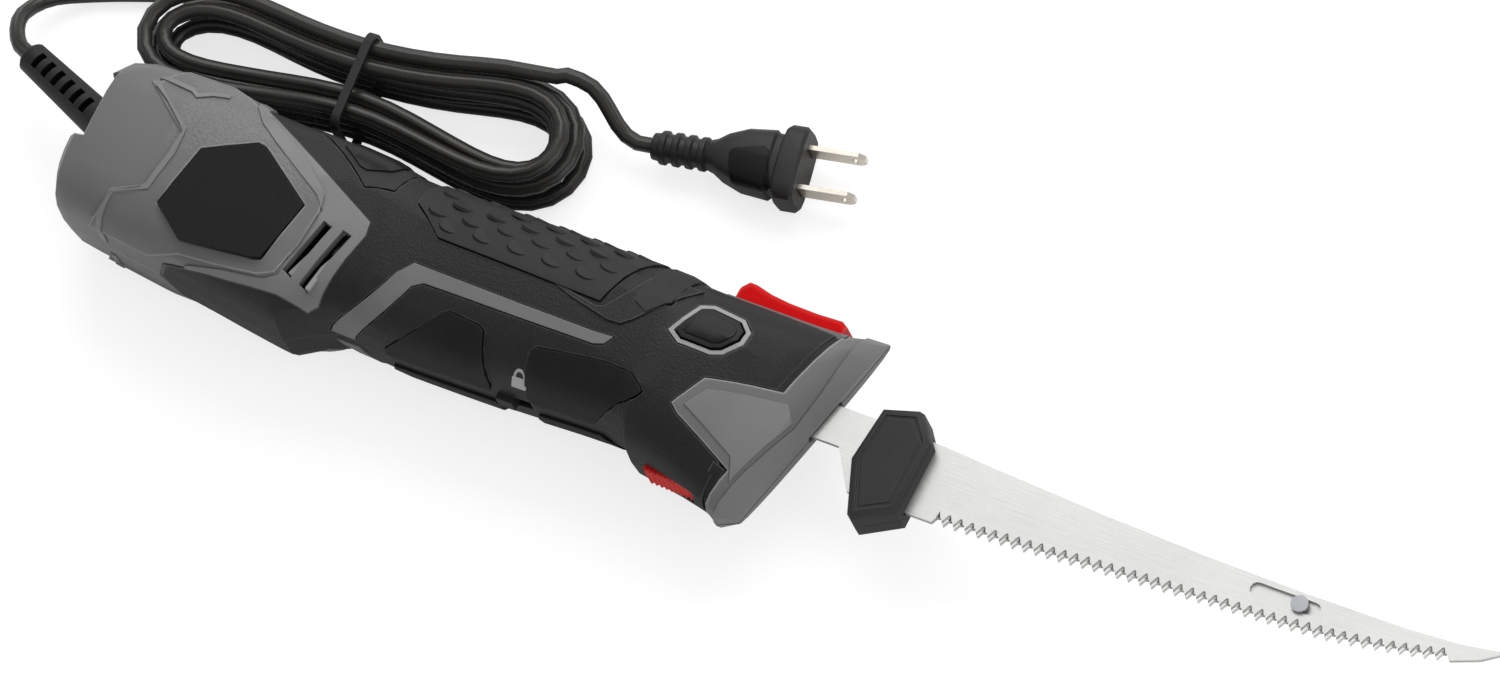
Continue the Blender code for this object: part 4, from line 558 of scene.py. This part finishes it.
def wound_wire():
    """Enamelled copper wire, wound round the armature, with painted shade between its turns and
    lighter crowns.
    """
    finish = Finish("wound_copper", {"Metallic": 1.0})
    x, y, _ = finish.knife()
    strand = (x * 12.0 + y * 3.0).sine()
    cloud = finish.noise(3.0)
    finish.relief(strand, 0.08)
    finish.set("Base Color", finish.mixed(strand * 0.5 + 0.5, *WIRE_SHADED_TONES))
    finish.set("Roughness", 0.30 + cloud * 0.15)
    return finish.material


def cord_vinyl():
    """Black vinyl of the cord and its tie: smooth and a little oily, with a painted highlight along
    its edges.
    """
    finish = Finish("cord_vinyl", {"Specular IOR Level": 0.4})
    fine = finish.noise(0.8, 3.0)
    cloud = finish.noise(16.0, 3.0)
    finish.relief(fine, 0.02, 0.3)
    plain = finish.mixed(cloud, grey(VINYL_LEVEL * 0.7, 0.04), grey(VINYL_LEVEL * 1.5, 0.06))
    # Painted highlight along the edges
    finish.set("Base Color", finish.mixed(finish.edges(0.4), plain, grey(VINYL_LEVEL * 2.4)))
    finish.set("Roughness", 0.17 + fine * 0.08 + cloud * 0.12)
    return finish.material


SHELL_BLACK = black_shell()
COVER_GREY = cover_grey()
SIGN_GREY = moulded("sign_print", 0.42, 0.4, 0.01, 0.5)
# Pale grey of the ribs inside the cooling slots, partly a painted highlight
SLOT_BAR_HIGHLIT = moulded("slot_bar_grey", 0.30, 0.5, 0.02, 0.40)
# Smooth rim grey, lighter than the cover partly as a painted highlight
COVER_RIM_HIGHLIT = moulded("cover_rim_grey", 0.20, 0.5, 0.015, 0.38)
PAD_RUBBER = rubber("pad_black_rubber", 0.0085)
GRIP_RUBBER = rubber("grip_black_rubber", 0.007, shine=0.22)
PLATE_BLACK = moulded("plate_black", 0.004, 0.5, 0.02, 0.36, shine=0.22)
STRIPE_GREY = moulded("stripe_grey", 0.155, 0.6, 0.03, 0.45)
RIM_GREY = moulded("rim_light_grey", 0.34, 0.4, 0.015, 0.38)
SWITCH_RED = gloss_red("switch_red", 0.27)
BLADE = blade_steel()
MACHINE_STEEL = plain_metal("machine_steel", (0.34, 0.35, 0.37), (0.52, 0.53, 0.55), 0.36)
BRASS = plain_metal("brass", (0.60, 0.42, 0.16), (0.80, 0.60, 0.28), 0.34)
PIN_NICKEL = plain_metal("plated_pin", (0.62, 0.58, 0.50), (0.84, 0.80, 0.72), 0.26)
COPPER = wound_wire()
FERRITE = moulded("ferrite", 0.045, 0.4, 0.03, 0.62)
GEAR_NYLON = moulded("gear_nylon", 0.66, 0.9, 0.02, 0.42, 0.05)
CORD_BLACK = cord_vinyl()
PLUG_BLACK = moulded("plug_vinyl", 0.013, 0.45, 0.03, 0.46, 0.03)
RELIEF_BLACK = rubber("relief_rubber", 0.005, 0.6)
GLOSS_BLACK = moulded("button_gloss_black", 0.003, 0.8, 0.01, 0.24, shine=0.2)

WEARS = {
    "black_nylon": SHELL_BLACK, "grey_plastic": COVER_GREY, "soft_rubber": PAD_RUBBER,
    "light_trim": STRIPE_GREY, "red_plastic": SWITCH_RED, "blade_steel": BLADE,
    "motor_steel": MACHINE_STEEL, "brass": BRASS, "copper": COPPER, "ferrite": FERRITE,
    "natural_nylon": GEAR_NYLON, "cord_vinyl": CORD_BLACK,
}
OWN_FINISH = {
    "rear_grip_pad_upper": GRIP_RUBBER, "rear_grip_pad_lower": GRIP_RUBBER,
    "front_grip_pad_upper": GRIP_RUBBER, "front_grip_pad_lower": GRIP_RUBBER,
    "badge_plate_upper": PLATE_BLACK, "badge_plate_lower": PLATE_BLACK,
    "button_rim_upper": RIM_GREY, "button_rim_lower": RIM_GREY,
    "prong_left": PIN_NICKEL, "prong_right": PIN_NICKEL, "plug_body": PLUG_BLACK,
    "strain_relief": RELIEF_BLACK, "release_button_upper": PLATE_BLACK,
    "release_button_lower": PLATE_BLACK, "nose_foot": PAD_RUBBER,
}
SLOTS = {name: node.data.materials[0].name.split(".")[0] for name, node in nodes.items()}


# Shaded copies of the moulded parts

# Degrees from which an edge stays crisp, and millimetres within which points become one
SHARP_FROM = 32.0
SAME_POINT = 0.004
TO_FRAME = Matrix.Scale(MM, 4) @ Matrix.Translation(
    (-REAR_TO_MIDDLE, AXIS_TO_MIDDLE, PARTING_HEIGHT))


def finished(name, bm, finish, body, stands_for, crease):
    """A bmesh in the frame as an object on a body, shaded smoothly between its crisp edges."""
    limit = math.radians(crease)
    for face in bm.faces:
        face.smooth = True
    for edge in bm.edges:
        edge.smooth = edge.calc_face_angle(math.pi) < limit
    mesh = bpy.data.meshes.new(name)
    bm.to_mesh(mesh)
    bm.free()
    mesh.materials.append(finish)
    made = bpy.data.objects.new(name, mesh)
    bpy.context.scene.collection.objects.link(made)
    made.modifiers.new("even_shading", "WEIGHTED_NORMAL").keep_sharp = True
    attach(made, body)
    if stands_for:
        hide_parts(*stands_for)


def faired(name):
    """A merged copy of a part in its place."""
    bm = bmesh.new()
    bm.from_mesh(nodes[name].data)
    bmesh.ops.remove_doubles(bm, verts=bm.verts, dist=SAME_POINT * MM)
    finished(name + "_faired", bm, OWN_FINISH.get(name, WEARS[SLOTS[name]]),
             body_name(nodes[name]), [name], SHARP_FROM)


def body_name(node):
    """The body that carries a node."""
    return node.parent.name.split(":")[1]


FAIRED = ["housing_upper", "housing_lower", "rear_cover_upper", "rear_cover_lower",
          "nose_collar", "palm_pad", "top_inset", "thumb_ridge", "stripe_inlay_upper",
          "stripe_inlay_lower", "rear_grip_pad_upper", "rear_grip_pad_lower",
          "front_grip_pad_upper", "front_grip_pad_lower", "strain_relief", "plug_body",
          "release_button_upper", "release_button_lower", "cord_tie", "nose_foot"]

for name, node in nodes.items():
    worn = OWN_FINISH.get(name, WEARS[SLOTS[name]])
    for socket in node.material_slots:
        socket.material = worn
for name in FAIRED:
    faired(name)
CORD.data.materials.append(CORD_BLACK)


# Making pieces

SKIN_JOIN = 0.01


def copied(name):
    """A merged copy of a part, in millimetres on the knife's axes."""
    bm = bmesh.new()
    bm.from_mesh(nodes[name].data)
    bmesh.ops.transform(bm, matrix=TO_FRAME.inverted(), verts=bm.verts)
    bmesh.ops.remove_doubles(bm, verts=bm.verts, dist=SAME_POINT)
    return bm


def slab(outline, low, high):
    """A flat outline drawn out along z."""
    bm = bmesh.new()
    face = bm.faces.new([bm.verts.new((x, y, low)) for x, y in outline])
    drawn = bmesh.ops.extrude_face_region(bm, geom=[face])["geom"]
    bmesh.ops.translate(bm, vec=(0, 0, high - low),
                        verts=[part for part in drawn if isinstance(part, bmesh.types.BMVert)])
    bmesh.ops.recalc_face_normals(bm, faces=bm.faces)
    return bm


def rounded(bm, edges, radius, segments):
    """Round some edges of a bmesh."""
    bmesh.ops.bevel(bm, geom=edges, offset=radius, segments=segments, profile=0.5,
                    affect="EDGES", material=-1)


def merged(bm, other):
    """Add one bmesh to another."""
    mesh = bpy.data.meshes.new("adding")
    other.to_mesh(mesh)
    other.free()
    bm.from_mesh(mesh)
    bpy.data.meshes.remove(mesh)


def common(first, second):
    """What two closed bmeshes have in common."""
    held = []
    for bm in (first, second):
        mesh = bpy.data.meshes.new("shaping")
        bm.to_mesh(mesh)
        bm.free()
        held.append(bpy.data.objects.new("shaping", mesh))
        bpy.context.scene.collection.objects.link(held[-1])
    step = held[0].modifiers.new("shaping", "BOOLEAN")
    step.operation = "INTERSECT"
    step.solver = "EXACT"
    step.use_self = True
    step.object = held[1]
    shaped = held[0].evaluated_get(bpy.context.evaluated_depsgraph_get())
    result = bmesh.new()
    result.from_mesh(shaped.to_mesh())
    shaped.to_mesh_clear()
    for used in held:
        bpy.data.objects.remove(used)
    return result


def lifted(source, rise, moved=(0, 0, 0)):
    """A copy of a part whose skin is moved outwards, and then as a whole."""
    skin = copied(source)
    bmesh.ops.recalc_face_normals(skin, faces=skin.faces)
    skin.normal_update()
    for vert, move in [(vert, vert.normal * rise) for vert in skin.verts]:
        vert.co += move + Vector(moved)
    return skin


def piece(name, bm, finish, body, slot, stands_for=(), crease=SHARP_FROM):
    """A finished shape, made in millimetres on the knife's axes, that rides on a body."""
    bmesh.ops.recalc_face_normals(bm, faces=bm.faces)
    bmesh.ops.transform(bm, matrix=TO_FRAME, verts=bm.verts)
    finished(name, bm, finish, body, stands_for, crease)


# Palm pad scales

# Columns lie half a pitch apart along the pad, and rows around it; every other place has a scale
SCALE_PITCH = 11.4
SCALE_ROW = 4.5
FIRST_COLUMN = 106
COLUMNS = 40
ROWS = range(-7, 8)
ROW_TOLERANCE = 0.6
# Half length, half width and height of a scale, and the even ground it needs along and across
SCALE_SIZE = (4.1, 2.7, 1.15)
SCALE_ROOM = (4.6, 2.9)
UNEVENNESS = 0.9
# Degrees that a scale is turned about its length and about its width, and its shape
SCALE_LEAN = (13, 6)
SCALE_SIDES = 18
SCALE_TAPER = 0.84
SCALE_SQUARENESS = 0.75
SCALE_SUNK = 0.5
# Rays towards the knife's axis that find the pad
SWEEP_HALF_DEGREES = range(-172, 173, 2)
OUTSIDE = 60
PAD_FROM_AXIS = 20


def pad_line(skin, x):
    """Places on the pad around a section: half degrees from the top, point, outward way."""
    found = []
    for step in SWEEP_HALF_DEGREES:
        angle = math.radians(90 + step / 2)
        way = Vector((0, math.sin(angle), math.cos(angle)))
        hit, normal, _, _ = skin.ray_cast(Vector((x, 0, 0)) + way * OUTSIDE, -way)
        if hit and hit.yz.length > PAD_FROM_AXIS:
            found.append((step, hit, normal))
    return found


def palm_scales():
    """Staggered scales raised on the pad, each leaning a little."""
    source = copied("palm_pad")
    skin = BVHTree.FromBMesh(source)
    source.free()
    bm = bmesh.new()
    for column in range(COLUMNS):
        x = FIRST_COLUMN + column * SCALE_PITCH / 2
        line = pad_line(skin, x)
        middle = [index for index, (step, _, _) in enumerate(line) if step == 0]
        if not middle:
            continue
        runs = {middle[0]: 0.0}
        for way in (1, -1):
            index = middle[0]
            while 0 <= index + way < len(line):
                runs[index + way] = (runs[index] + way * (line[index + way][1]
                                                          - line[index][1]).length)
                index += way
        for row in ROWS:
            if (row + column) % 2:
                continue
            index = min(runs, key=lambda i: abs(runs[i] - row * SCALE_ROW))
            if abs(runs[index] - row * SCALE_ROW) < ROW_TOLERANCE:
                add_scale(bm, skin, line[index][1], line[index][2], math.copysign(1, row))
    piece("palm_scales", bm, PAD_RUBBER, "handle", "soft_rubber")


def add_scale(bm, skin, place_on, normal, side):
    """One scale, if it has room on the pad."""
    across = Vector((1, 0, 0))
    down = normal.cross(across).normalized()
    along_room, across_room = across * SCALE_ROOM[0], down * SCALE_ROOM[1]
    for reach in (along_room, -along_room, across_room, -across_room):
        hit, _, _, _ = skin.ray_cast(place_on + reach + normal * 3, -normal)
        if not hit or (hit - place_on - reach).length > UNEVENNESS:
            return
    turn = Matrix((across, down, normal)).transposed().to_4x4()
    lean = (Matrix.Rotation(math.radians(SCALE_LEAN[0] * side), 4, "X")
            @ Matrix.Rotation(math.radians(SCALE_LEAN[1]), 4, "Y"))
    size = Matrix.Diagonal((*SCALE_SIZE, 1))
    made = bmesh.ops.create_cone(bm, cap_ends=True, segments=SCALE_SIDES, radius1=1.0,
                                 radius2=SCALE_TAPER, depth=1.0)["verts"]
    for vert in made:
        vert.co.y = math.copysign(abs(vert.co.y) ** SCALE_SQUARENESS, vert.co.y)
    middle = Matrix.Translation(place_on - normal * SCALE_SUNK)
    bmesh.ops.transform(bm, verts=made, matrix=middle @ turn @ lean @ size)


palm_scales()


# Thumb bar and guards

BAR_SIDE = [(207.8, 20.6), (208.0, 31.3), (209.6, 33.3), (212.0, 33.3), (217.0, 32.3),
            (223.0, 31.9), (232.0, 32.1), (239.6, 32.8), (241.7, 31.6), (241.8, 20.6)]
BAR_HALF = (9.2, 5.0)
BAR_EDGE = 1.7
BAR_SEEN_ABOVE = 24
GUARD_OUTLINE = [(263.9, 11.4), (274.4, 14.6), (276.2, 14.2), (282.5, 6.3), (282.2, -17.0),
                 (270.2, -23.9), (268.2, -22.5), (261.7, -6.0)]
# Underside and face of a guard above the parting plane, and how its rim is rounded
GUARD_LEVELS = (1.26, 7.0)
GUARD_EDGE = 1.7
GUARD_SHORT = 1.9
# Steps of the sunk panel, each inwards and then up or down
GUARD_PANEL = ((0.5, 0.0), (0.25, -0.45), (0.7, 0.0), (0.3, 0.35))
# Hooks past the blade's spine and its edge: their levels, where they start, and which way they go
HOOK_LEVELS = (0.16, 1.3)
HOOKS = ((9.5, -1), (-15.0, 1))


def thumb_bar():
    """Glossy bar with a raised rear lip and rounded edges."""
    bm = slab(BAR_SIDE, -1.0, 1.0)
    start, end = BAR_SIDE[0][0], BAR_SIDE[-1][0]
    for vert in bm.verts:
        share = (vert.co.x - start) / (end - start)
        vert.co.z *= BAR_HALF[0] + (BAR_HALF[1] - BAR_HALF[0]) * share
    shown = [edge for edge in bm.edges if all(vert.co.y > BAR_SEEN_ABOVE for vert in edge.verts)
             and abs(edge.verts[0].co.z - edge.verts[1].co.z) < 2]
    rounded(bm, shown, BAR_EDGE, 4)
    piece("thumb_bar", bm, SWITCH_RED, "thumb", "red_plastic", ["thumb_switch"], 40.0)


def top_face(bm):
    """The highest face of a bmesh."""
    return max(bm.faces, key=lambda face: face.calc_center_median().z)


def guard(name, side, body):
    """Bevelled guard with a sunk panel on its face, hooked over spine and edge."""
    bm = slab(GUARD_OUTLINE, *GUARD_LEVELS)
    rounded(bm, list(top_face(bm).edges), GUARD_EDGE, 2)
    bmesh.ops.collapse(bm, edges=[edge for edge in top_face(bm).edges
                                  if edge.calc_length() < GUARD_SHORT])
    face = top_face(bm)
    for thickness, depth in GUARD_PANEL:
        bmesh.ops.inset_region(bm, faces=[face], thickness=thickness, depth=depth,
                               use_even_offset=True)
    for edge_y, way in HOOKS:
        hook = slab(GUARD_OUTLINE, *HOOK_LEVELS)
        cut = bmesh.ops.bisect_plane(hook, geom=hook.verts[:] + hook.edges[:] + hook.faces[:],
                                     plane_co=(0, edge_y, 0), plane_no=(0, way, 0),
                                     clear_outer=True)["geom_cut"]
        bmesh.ops.edgenet_fill(hook, edges=[part for part in cut
                                            if isinstance(part, bmesh.types.BMEdge)])
        merged(bm, hook)
    if side < 0:
        bmesh.ops.scale(bm, vec=(1, 1, -1), verts=bm.verts)
    piece(name + "_dressed", bm, GUARD_BLACK, body, "soft_rubber", [name], 30.0)


GUARD_BLACK = rubber("guard_black_rubber", 0.013, 0.3)
thumb_bar()
guard("blade_guard_upper", 1, "blade_a")
guard("blade_guard_lower", -1, "blade_b")


# Raised fields of the covers and the nose

RIM_FIELD = [(48.0, 31.0), (49.6, 28.5), (54.5, 23.4), (62.4, 18.3), (81.5, 7.4), (84.8, 3.6),
             (80.6, -19.0), (77.0, -21.2), (51.6, -23.8), (44.7, -25.8), (38.0, -31.0),
             (38.0, -45.0), (112.0, -45.0), (112.0, 45.0), (48.0, 45.0)]
FLANGE_FIELD = [(249.5, 36.0), (248.4, 29.4), (245.2, 8.7), (242.3, -4.4), (231.1, -32.6),
                (228.0, -42.0), (228.0, -52.0), (268.0, -52.0), (270.0, 50.0), (252.0, 50.0)]
NOSE_FIELD = [(213.4, -13.0), (217.6, -6.2), (239.0, 0.9), (241.6, -3.4), (232.0, -27.0),
              (230.2, -20.4)]
RIDGE_LINE = [(17.4, 24.6), (33.9, 12.2), (33.8, 4.4), (31.3, -7.8), (21.1, -12.1),
              (18.4, -24.0)]
STEP_LINE = [(18.3, 26.6), (30.0, 25.6), (32.0, 24.2), (36.0, 26.6), (41.0, 28.0)]
INSET_PLATEAU = [(79.7, 26.9), (88.2, 21.4), (90.7, 21.0), (97.3, 23.5), (99.6, 27.6),
                 (96.0, 33.0), (83.0, 33.0)]
# A level above every part
SKIN_TOP = 60.0


def ribbon(points, half):
    """Outline of a band along a line of points."""
    sides = ([], [])
    for i, point in enumerate(points):
        before, after = points[max(i - 1, 0)], points[min(i + 1, len(points) - 1)]
        along = Vector((after[0] - before[0], after[1] - before[1])).normalized()
        for side, way in zip(sides, (1, -1)):
            side.append((point[0] - along.y * half * way, point[1] + along.x * half * way))
    return sides[0] + sides[1][::-1]


def raised(name, source, outline, rise, low, finish, bodies=("handle", "handle"),
           moved=(0, 0, 0)):
    """The skin of a part over an outline, on both sides of the knife.

    It is lifted by rise, moved as a whole, and kept above the level low.
    """
    field = common(lifted(source, rise, moved), slab(outline, low, SKIN_TOP))
    bmesh.ops.remove_doubles(field, verts=field.verts, dist=SKIN_JOIN)
    twin = field.copy()
    bmesh.ops.scale(twin, vec=(1, 1, -1), verts=twin.verts)
    piece(name + "_upper", field, finish, bodies[0], SLOTS[source])
    piece(name + "_lower", twin, finish, bodies[1], SLOTS[source])


# Rims, ridges and steps in the rim grey, whose paleness is partly a painted highlight
raised("cover_rim", "rear_cover_upper", RIM_FIELD, 0.45, 0.3, COVER_RIM_HIGHLIT)
raised("nose_flange", "nose_collar", FLANGE_FIELD, 0.4, 0.3, COVER_RIM_HIGHLIT)
raised("nose_field", "nose_collar", NOSE_FIELD, 0.35, 4.0, COVER_RIM_HIGHLIT)
raised("cover_ridge", "rear_cover_upper", ribbon(RIDGE_LINE, 1.0), 0.5, 5.0, COVER_RIM_HIGHLIT)
raised("cover_step", "rear_cover_upper", ribbon(STEP_LINE, 0.8), 0.5, 1.0, COVER_RIM_HIGHLIT)
raised("inset_plateau", "top_inset", INSET_PLATEAU, 0.5, 0.3, PLATE_BLACK)


# Bars behind the cooling slots, pale partly as a painted highlight

SLOT_BARS = ([(93.6, 1.8), (87.7, -7.0), (83.6, -17.4)],
             [(96.4, -3.0), (92.2, -12.0), (90.6, -20.0)])
SLOT_BAR_HALF = 0.9
SLOT_BAR_LEVELS = (20.2, 21.8)
SLOT_BAR_EDGE = 0.4


def slot_bars():
    """Two slanting bars a little below each pair of cooling slots, in a pale grey that is partly a
    painted highlight.
    """
    bm = bmesh.new()
    for side in (1, -1):
        for line in SLOT_BARS:
            bar = slab(ribbon(line, SLOT_BAR_HALF), *SLOT_BAR_LEVELS)
            rounded(bar, list(bar.edges), SLOT_BAR_EDGE, 2)
            if side < 0:
                bmesh.ops.scale(bar, vec=(1, 1, -1), verts=bar.verts)
            merged(bm, bar)
    piece("slot_bars", bm, SLOT_BAR_HIGHLIT, "handle", "grey_plastic")


slot_bars()


# Small things on the shell and the plug

LOCK_SIGN_AT = Vector((161.0, -24.5, 18.0))
SIGN_BOX = [(-2.4, -3.8), (2.4, -3.8), (2.4, 0.0), (-2.4, 0.0)]
SIGN_LEVELS = (-0.3, 0.08)
SIGN_CORNER = 0.4
BOW_HALF = 1.6
BOW_WIRE = 0.38
BOW_STRETCH = (1, 1.6, 0.4)
PLUG_PANEL = [(178.3, 75.9), (187.2, 79.8), (188.8, 79.2), (192.9, 69.3), (192.3, 67.7),
              (183.2, 64.2), (181.8, 64.9), (177.8, 74.2)]
PLUG_PANEL_RISE = 0.5
PLUG_PANEL_LEVELS = (-14.0, 20.0)
BUTTON_FACE = [(203.6, 7.6), (206.9, 14.4), (208.9, 15.3), (216.6, 14.9), (218.2, 13.4),
               (218.0, 11.4), (215.4, 7.8), (213.1, 7.0), (205.0, 6.9)]
# Strips at the front end of the shell that carry it on to the nose collar
SHELL_LIP = [(234.6, 0.5), (236.8, 8.0), (238.0, 13.0), (239.6, 18.0), (241.2, 23.0),
             (242.2, 27.5)]
SHELL_EDGE = [(228.4, -24.0), (227.6, -28.0), (226.8, -31.0), (226.0, -35.0)]
# Band that runs from the thumb ridge along the palm pad's lower edge
RIDGE_BAND = [(202.4, 22.0), (188.4, 5.0), (185.4, 2.4), (181.0, 2.2), (168.0, 5.0),
              (156.0, 8.8), (176.0, 5.0), (178.5, 6.0), (183.4, 13.0), (188.2, 22.0)]


def nearest(name, spot):
    """The point of a part nearest to a spot, and the way the part faces there."""
    bm = copied(name)
    bmesh.ops.recalc_face_normals(bm, faces=bm.faces)
    where, facing = BVHTree.FromBMesh(bm).find_nearest(spot)[:2]
    bm.free()
    return where, facing


def lock_sign():
    """Padlock sign printed on the shell beside the slide."""
    where, facing = nearest("housing_upper", LOCK_SIGN_AT)
    along = Vector((1, 0, 0))
    up = facing.cross(along).normalized()
    turn = Matrix((up.cross(facing).normalized(), up, facing)).transposed().to_4x4()
    sign = slab(SIGN_BOX, *SIGN_LEVELS)
    corners = [edge for edge in sign.edges
               if abs(edge.verts[0].co.z - edge.verts[1].co.z) > 0.1]
    rounded(sign, corners, SIGN_CORNER, 2)
    bow = bmesh.new()
    ends = bmesh.ops.create_circle(bow, cap_ends=True, segments=8, radius=BOW_WIRE)["verts"]
    bmesh.ops.translate(bow, vec=(BOW_HALF, 0, 0), verts=ends)
    bmesh.ops.rotate(bow, cent=(0, 0, 0), matrix=Matrix.Rotation(math.radians(90), 3, "X"),
                     verts=ends)
    bmesh.ops.spin(bow, geom=bow.faces[:], cent=(0, 0, 0), axis=(0, 0, 1),
                   angle=math.pi, steps=12, use_merge=False)
    bmesh.ops.scale(bow, vec=BOW_STRETCH, verts=bow.verts)
    merged(sign, bow)
    bmesh.ops.transform(sign, matrix=Matrix.Translation(where) @ turn, verts=sign.verts)
    piece("lock_sign", sign, SIGN_GREY, "handle", "light_trim")


def plug_panel():
    """Panel raised on the plug's upper face."""
    field = common(lifted("plug_body", PLUG_PANEL_RISE), slab(PLUG_PANEL, *PLUG_PANEL_LEVELS))
    piece("plug_panel", field, PLATE_BLACK, "handle", "cord_vinyl")


lock_sign()
plug_panel()
raised("shell_lip", "housing_upper", ribbon(SHELL_LIP, 2.0), 0.0, 2.0, SHELL_BLACK,
       moved=(1.8, 0.0, -1.15))
raised("shell_edge", "housing_upper", ribbon(SHELL_EDGE, 2.2), 0.0, 2.0, SHELL_BLACK,
       moved=(2.3, 0.0, -1.05))
raised("button_face", "release_button_upper", BUTTON_FACE, 0.35, 1.0, GLOSS_BLACK,
       bodies=(body_name(nodes["release_button_upper"]),
               body_name(nodes["release_button_lower"])))
raised("ridge_band", "housing_upper", RIDGE_BAND, 0.7, 4.0, SHELL_BLACK)


# Room

FLOOR_HALF = 8.0
FLOOR_TONES = (0.97, 0.99)
FLOOR_GLOW = 1.33
GLOW_SHARE = 0.55
STUDIO_LIGHT = 0.48
STUDIO_SEEN = 1.0
LAMP_AWAY = 1.5


def room():
    """A pale floor, lifted towards white for the camera, that keeps the knife's soft shadow."""
    bm = bmesh.new()
    bmesh.ops.create_grid(bm, x_segments=1, y_segments=1, size=FLOOR_HALF)
    mesh = bpy.data.meshes.new("floor")
    bm.to_mesh(mesh)
    bm.free()
    floor = bpy.data.objects.new("floor", mesh)
    bpy.context.scene.collection.objects.link(floor)
    finish = Finish("floor_paper", {"Roughness": 1.0, "Specular IOR Level": 0.0})
    paper = finish.noise(60.0, 2.0)
    finish.set("Base Color", finish.mixed(paper, *map(grey, FLOOR_TONES)))
    glow = finish.node("ShaderNodeEmission", {}, grey(1.0), FLOOR_GLOW)
    path = finish.node("ShaderNodeLightPath", {})
    share = Amount(finish, path.outputs["Is Camera Ray"]) * GLOW_SHARE
    mix = finish.node("ShaderNodeMixShader", {}, share, finish.surface.outputs[0],
                      glow.outputs[0])
    finish.feed(finish.tree.nodes["Material Output"].inputs[0], mix.outputs[0])
    floor.data.materials.append(finish.material)


def lamp(name, towards, size, watts):
    """A soft box in a direction from the knife's middle, aimed back at it."""
    data = bpy.data.lights.new(name, "AREA")
    data.shape = "RECTANGLE"
    data.size, data.size_y = size
    data.energy = watts
    held = bpy.data.objects.new(name, data)
    bpy.context.scene.collection.objects.link(held)
    way = Vector(towards).normalized()
    turn = way.to_track_quat("Z", "Y").to_matrix().to_4x4()
    held.matrix_world = Matrix.Translation(LOOKS_AT + way * LAMP_AWAY) @ turn


def surround():
    """A grey studio that is white where the camera looks past the floor."""
    world = bpy.data.worlds.new("studio")
    bpy.context.scene.world = world
    world.use_nodes = True
    tree = world.node_tree
    light = tree.nodes["Background"]
    light.inputs["Color"].default_value = grey(1.0)
    light.inputs["Strength"].default_value = STUDIO_LIGHT
    white = tree.nodes.new("ShaderNodeBackground")
    white.inputs["Color"].default_value = grey(1.0)
    white.inputs["Strength"].default_value = STUDIO_SEEN
    path = tree.nodes.new("ShaderNodeLightPath")
    mix = tree.nodes.new("ShaderNodeMixShader")
    tree.links.new(path.outputs["Is Camera Ray"], mix.inputs[0])
    tree.links.new(light.outputs[0], mix.inputs[1])
    tree.links.new(white.outputs[0], mix.inputs[2])
    tree.links.new(mix.outputs[0], tree.nodes["World Output"].inputs[0])


room()
lamp("soft_box_behind", (-0.10, 0.70, 0.70), (1.7, 1.1), 15)
lamp("soft_box_over", (0.80, 0.05, 0.75), (0.9, 0.9), 3)
surround()
bpy.context.scene.view_settings.view_transform = "Standard"
